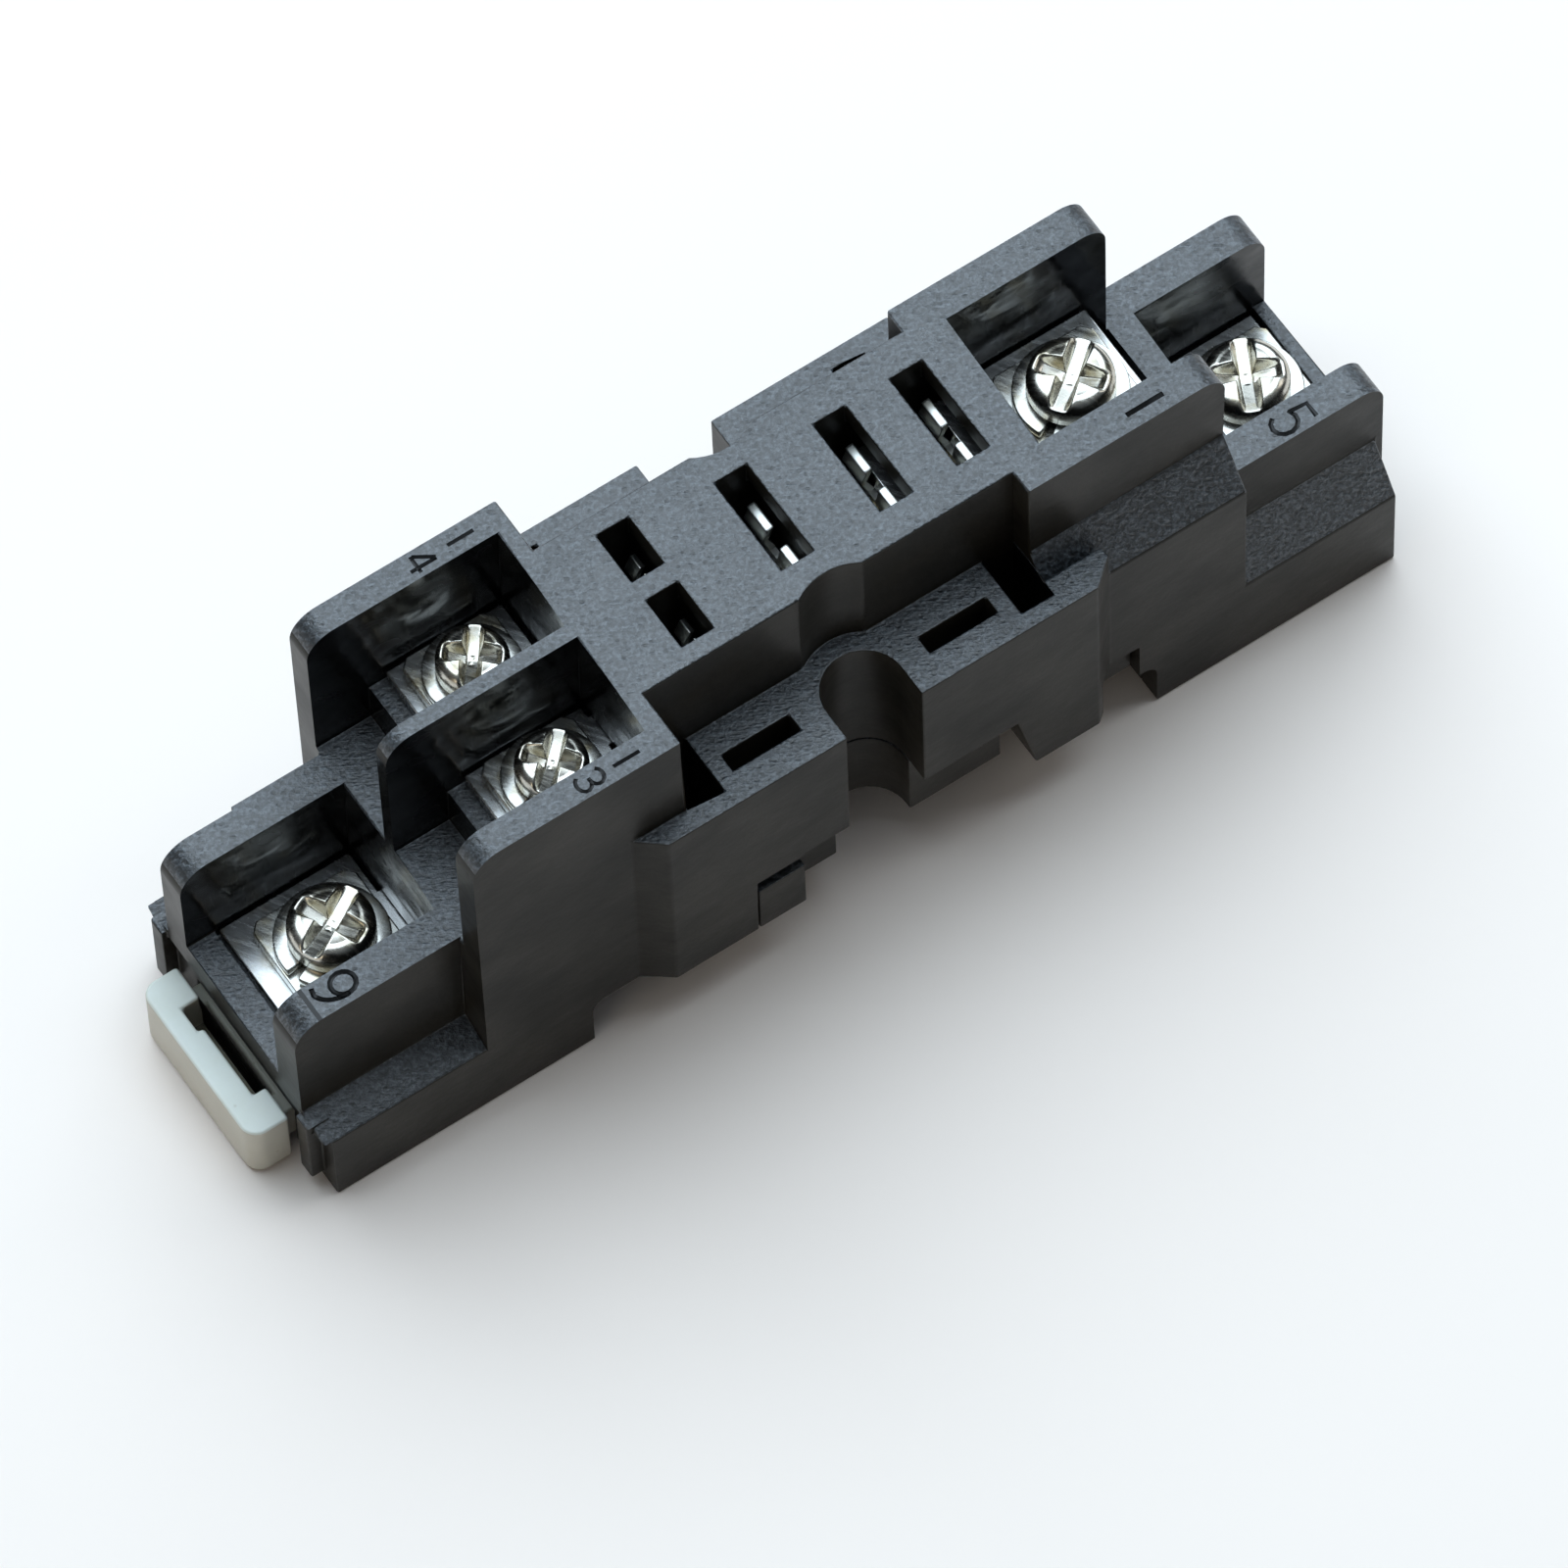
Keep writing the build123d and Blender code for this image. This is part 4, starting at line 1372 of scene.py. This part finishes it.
@dataclass
class ScrewSet:
    """Screw, spring washer and clamp plate of one terminal."""

    terminal: Terminal
    turn: float
    split: float

    @property
    def size(self) -> ScrewSize:
        """Sizes of this terminal's screw."""
        return COIL_SCREW if self.terminal.is_coil else CONTACT_SCREW

    def build(self, palette: Palette, turning: Turning, spiral: SpiralBar) -> None:
        """Make and dress the three pieces.

        Args:
            palette: the finishes.
            turning: the tree that turns heads and shanks.
            spiral: the tree that winds threads and washers.
        """
        self.build_screw(palette, turning, spiral)
        self.build_ring(palette, spiral)
        name = f"square_washer_{self.terminal.value}"
        plate = worked_copy(name, f"clamp_plate_{self.terminal.value}", 0.1, 2, 0.05)
        smooth_over(plate)
        dress(plate, [palette.washer], "washer", self.terminal.clamp, name)

    def outline(self, length: float) -> List[Flat]:
        """Half section of head and shank, with the head's underside at height 0.

        Args:
            length: of the shank.

        Returns:
            Radius and height of each point, from the tip to the top.
        """
        s = self.size
        core = s.shank - 0.22
        side = 0.46 * s.head_tall
        shoulder, crown = 0.66, 0.86
        points = [(0.0, -length), (core * 0.72, -length), (core, -length + 0.45), (core, -0.02)]
        points += [(s.head - 0.1, 0.0), (s.head, 0.1), (s.head, side)]
        for i in range(1, 11):
            a = math.radians(90 * i / 10)
            out = shoulder + (1 - shoulder) * math.cos(a)
            points.append((s.head * out, side + (s.head_tall * crown - side) * math.sin(a)))
        for i in range(1, 31):
            share = 1 - i / 30
            points.append((s.head * shoulder * share, s.head_tall * (1.0 - (1 - crown) * share**2)))
        return points

    def sink(self, spot: Vector) -> float:
        """Height of the head's top where the cross recess and the slot have been pressed in.

        Args:
            spot: point on the plain domed head, in millimetres.

        Returns:
            The height after pressing, never higher than before.
        """
        return min(
            SLOT_ARM.press(self.size, spot.x, spot.y, spot.z),
            CROSS_ARM.press(self.size, spot.y, spot.x, spot.z),
        )

    def build_screw(self, palette: Palette, turning: Turning, spiral: SpiralBar) -> None:
        """Turn the head and shank, press the recess in and wind the thread.

        Args:
            palette: the finishes.
            turning: the tree that turns the blank.
            spiral: the tree that winds the thread.
        """
        name = f"screw_{self.terminal.value}"
        low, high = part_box(name)
        s = self.size
        under = high.z / MM - s.head_tall
        length = under - low.z / MM
        blank = turning.run(name, outline_curve(self.outline(length)), palette.screw, {"Steps": 144})
        piece = new_object(f"pan_head_{self.terminal.value}", outward(blank))
        for v in piece.data.vertices:
            if v.co.z > 0.3 * s.head_tall * MM:
                v.co.z = self.sink(v.co / MM) * MM
        rise = length - 1.0
        thread = Winding(rise / s.pitch, s.shank - 0.20, rise, wide=0.2, tall=0.24, steps=24, sides=3)
        ridge = spiral.wind("ridge", palette.screw, thread)
        ridge.transform(Matrix.Translation((0, 0, (-length + 0.3) * MM)))
        piece.data = merged(piece.name, [piece.data, outward(ridge)])
        place = Vector(((low.x + high.x) / 2, (low.y + high.y) / 2, under * MM))
        piece.data.transform(Matrix.Translation(place) @ Matrix.Rotation(math.radians(self.turn), 4, "Z"))
        smooth_over(piece, 62.0)
        dress(piece, [palette.screw], "screw", self.terminal.screw, name)

    def build_ring(self, palette: Palette, spiral: SpiralBar) -> None:
        """Wind the split spring washer.

        Args:
            palette: the finishes.
            spiral: the tree that winds it.
        """
        name = f"spring_washer_{self.terminal.value}"
        low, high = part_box(name)
        s = self.size
        inner = s.shank + 0.12
        wide = s.ring - inner
        tall = (high.z - low.z) / MM - 0.12
        square = {"wide": wide / math.sqrt(2), "tall": tall / math.sqrt(2), "roll_deg": 45.0, "sides": 4}
        coil = Winding(0.968, inner + wide / 2, 0.1, steps=64, **square)
        mesh = spiral.wind("ring", palette.washer, coil)
        centre = Vector(((low.x + high.x) / 2, (low.y + high.y) / 2, low.z + (tall / 2 + 0.01) * MM))
        mesh.transform(Matrix.Translation(centre) @ Matrix.Rotation(math.radians(self.split), 4, "Z"))
        piece = new_object(f"split_ring_{self.terminal.value}", outward(mesh))
        edges = piece.modifiers.new("worn edges", "BEVEL")
        edges.width = 0.09 * MM
        edges.segments = 2
        edges.limit_method = "ANGLE"
        edges.angle_limit = math.radians(40)
        baked(piece)
        smooth_over(piece)
        dress(piece, [palette.washer], "washer", self.terminal.clamp, name)


@dataclass
class ContactStrip:
    """Terminal strip, leaf clip and rivet of one terminal."""

    terminal: Terminal
    lip: Flat = (0.27, 0.17)
    lip_sides: int = 20
    lip_tilt: float = 13.0
    sunk: float = 0.13
    tip: float = 0.25
    slit_floor: float = 17.02

    @property
    def gap(self) -> float:
        """Width between the two fingers of a leaf."""
        return 0.4 if self.terminal.is_coil else 1.2

    def build(self, palette: Palette) -> None:
        """Make and dress the three pieces.

        Args:
            palette: the finishes.
        """
        n = self.terminal.value
        for node, name, width, finish, slot in (
            (f"terminal_{n}", f"strip_{n}", 0.08, palette.terminal, "terminal"),
            (f"contact_clip_{n}", f"leaf_{n}", 0.05, palette.clip, "contact_clip"),
            (f"rivet_{n}", f"rivet_head_{n}", 0.06, palette.rivet, "rivet"),
        ):
            piece = worked_copy(node, name, width, 3, 0.16)
            if slot == "contact_clip":
                self.slit(piece)
                if not self.terminal.is_coil:
                    piece.data = merged(name, [piece.data, *self.lips(node)])
            smooth_over(piece)
            dress(piece, [finish], slot, "base", node)

    def slit(self, piece: bpy.types.Object) -> None:
        """Cut the leaves into fingers right up to the tips and sink the tips under the lips.

        Args:
            piece: the clip.
        """
        xs, ys, zs = ([v.co[i] for v in piece.data.vertices] for i in range(3))
        top, middle, half = max(zs), (min(ys) + max(ys)) / 2, self.gap / 2 * MM
        low = (min(xs) - MM, middle - half, self.slit_floor * MM)
        high = (max(xs) + MM, middle + half, top + MM)
        shape = bmesh.new()
        bmesh.ops.create_cube(shape, size=1.0)
        for v in shape.verts:
            v.co = Vector(a + (b - a) * (c + 0.5) for a, b, c in zip(low, high, v.co))
        mesh = bpy.data.meshes.new("slit")
        shape.to_mesh(mesh)
        shape.free()
        carve(piece, new_object("slit", mesh))
        for v in piece.data.vertices:
            if v.co.z > top - self.tip * MM:
                v.co.z -= self.sunk * MM

    def lips(self, node: str) -> List[bpy.types.Mesh]:
        """Rounded lips on the tips of the leaves, which guide a blade in.

        Args:
            node: name of the clip's node.

        Returns:
            One closed bar for each finger.
        """
        solid = frame["nodes"][node].data
        top = max(v.co.z for v in solid.vertices)
        shape = closed_shape(solid)
        tips = [f for f in shape.faces if f.normal.z > 0.7 and f.calc_center_median().z > top - self.tip * MM]
        bars = []
        for tip in tips:
            xs, ys = ([v.co[i] / MM for v in tip.verts] for i in range(2))
            x, middle, cut = (min(xs) + max(xs)) / 2, (min(ys) + max(ys)) / 2, self.gap / 2
            bars += [(x, min(ys), middle - cut), (x, middle + cut, max(ys))]
        shape.free()
        centre = sum(x for x, _, _ in bars) / len(bars)
        return [self.bar(place, top / MM, math.copysign(1.0, place[0] - centre)) for place in bars]

    def bar(self, place: Point, top: float, side: float) -> bpy.types.Mesh:
        """One lip: a flat bar with rounded edges and ends along Y, tilted towards the slot's middle.

        Args:
            place: X of the leaf's tip and the Y of both ends.
            top: height of its highest line.
            side: 1 for the leaf on the +X side, -1 for the other.

        Returns:
            The bar's mesh.
        """
        x, low, high = place
        half, thick = self.lip
        tilt = math.radians(self.lip_tilt) * side
        axis = Vector(((x - 0.09 * side) * MM, 0.0, (top - 0.5 * thick - half * abs(math.sin(tilt))) * MM))
        turned = Matrix.Rotation(-tilt, 3, "Y")
        rows = []
        shape = bmesh.new()
        one_end = ((low, 0.5), (low + 0.05, 0.8), (low + 0.16, 1.0))
        for y, share in (*one_end, (high - 0.16, 1.0), (high - 0.05, 0.8), (high, 0.5)):
            row = []
            for i in range(self.lip_sides):
                t = 2 * math.pi * i / self.lip_sides
                c, d = math.cos(t), math.sin(t)
                across = math.copysign(abs(c) ** 0.6, c) * half * (0.7 + 0.3 * share)
                upward = math.copysign(abs(d) ** 0.6, d) * 0.5 * thick * share
                spot = turned @ Vector((across * MM, 0.0, upward * MM)) + Vector((0.0, y * MM, 0.0))
                row.append(shape.verts.new(axis + spot))
            rows.append(row)
        for one, two in zip(rows, rows[1:]):
            for i in range(self.lip_sides):
                j = (i + 1) % self.lip_sides
                shape.faces.new((one[i], one[j], two[j], two[i]))
        shape.faces.new(rows[0])
        shape.faces.new(rows[-1][::-1])
        mesh = bpy.data.meshes.new("lip")
        shape.to_mesh(mesh)
        shape.free()
        return outward(mesh)


def main() -> None:
    """Build every piece in order and report it."""
    logging.basicConfig(level=logging.INFO, format="%(name)s: %(message)s")
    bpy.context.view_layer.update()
    palette = Palette()
    spiral = SpiralBar()
    turning = Turning()
    Studio().build(palette)
    housing().build(palette)
    Moulding("base_cover", "base_cover", edge=0.1).build(palette)
    ReleaseSlide().build(palette)
    ReturnSpring().build(palette, spiral)
    for terminal, turn, split in (
        (Terminal.T9, 27.0, 190.0),
        (Terminal.T5, 64.0, 150.0),
        (Terminal.T1, 38.0, 205.0),
        (Terminal.T14, 52.0, 215.0),
        (Terminal.T13, 44.0, 196.0),
    ):
        ScrewSet(terminal, turn, split).build(palette, turning, spiral)
        ContactStrip(terminal).build(palette)


if __name__ == "__main__":
    main()
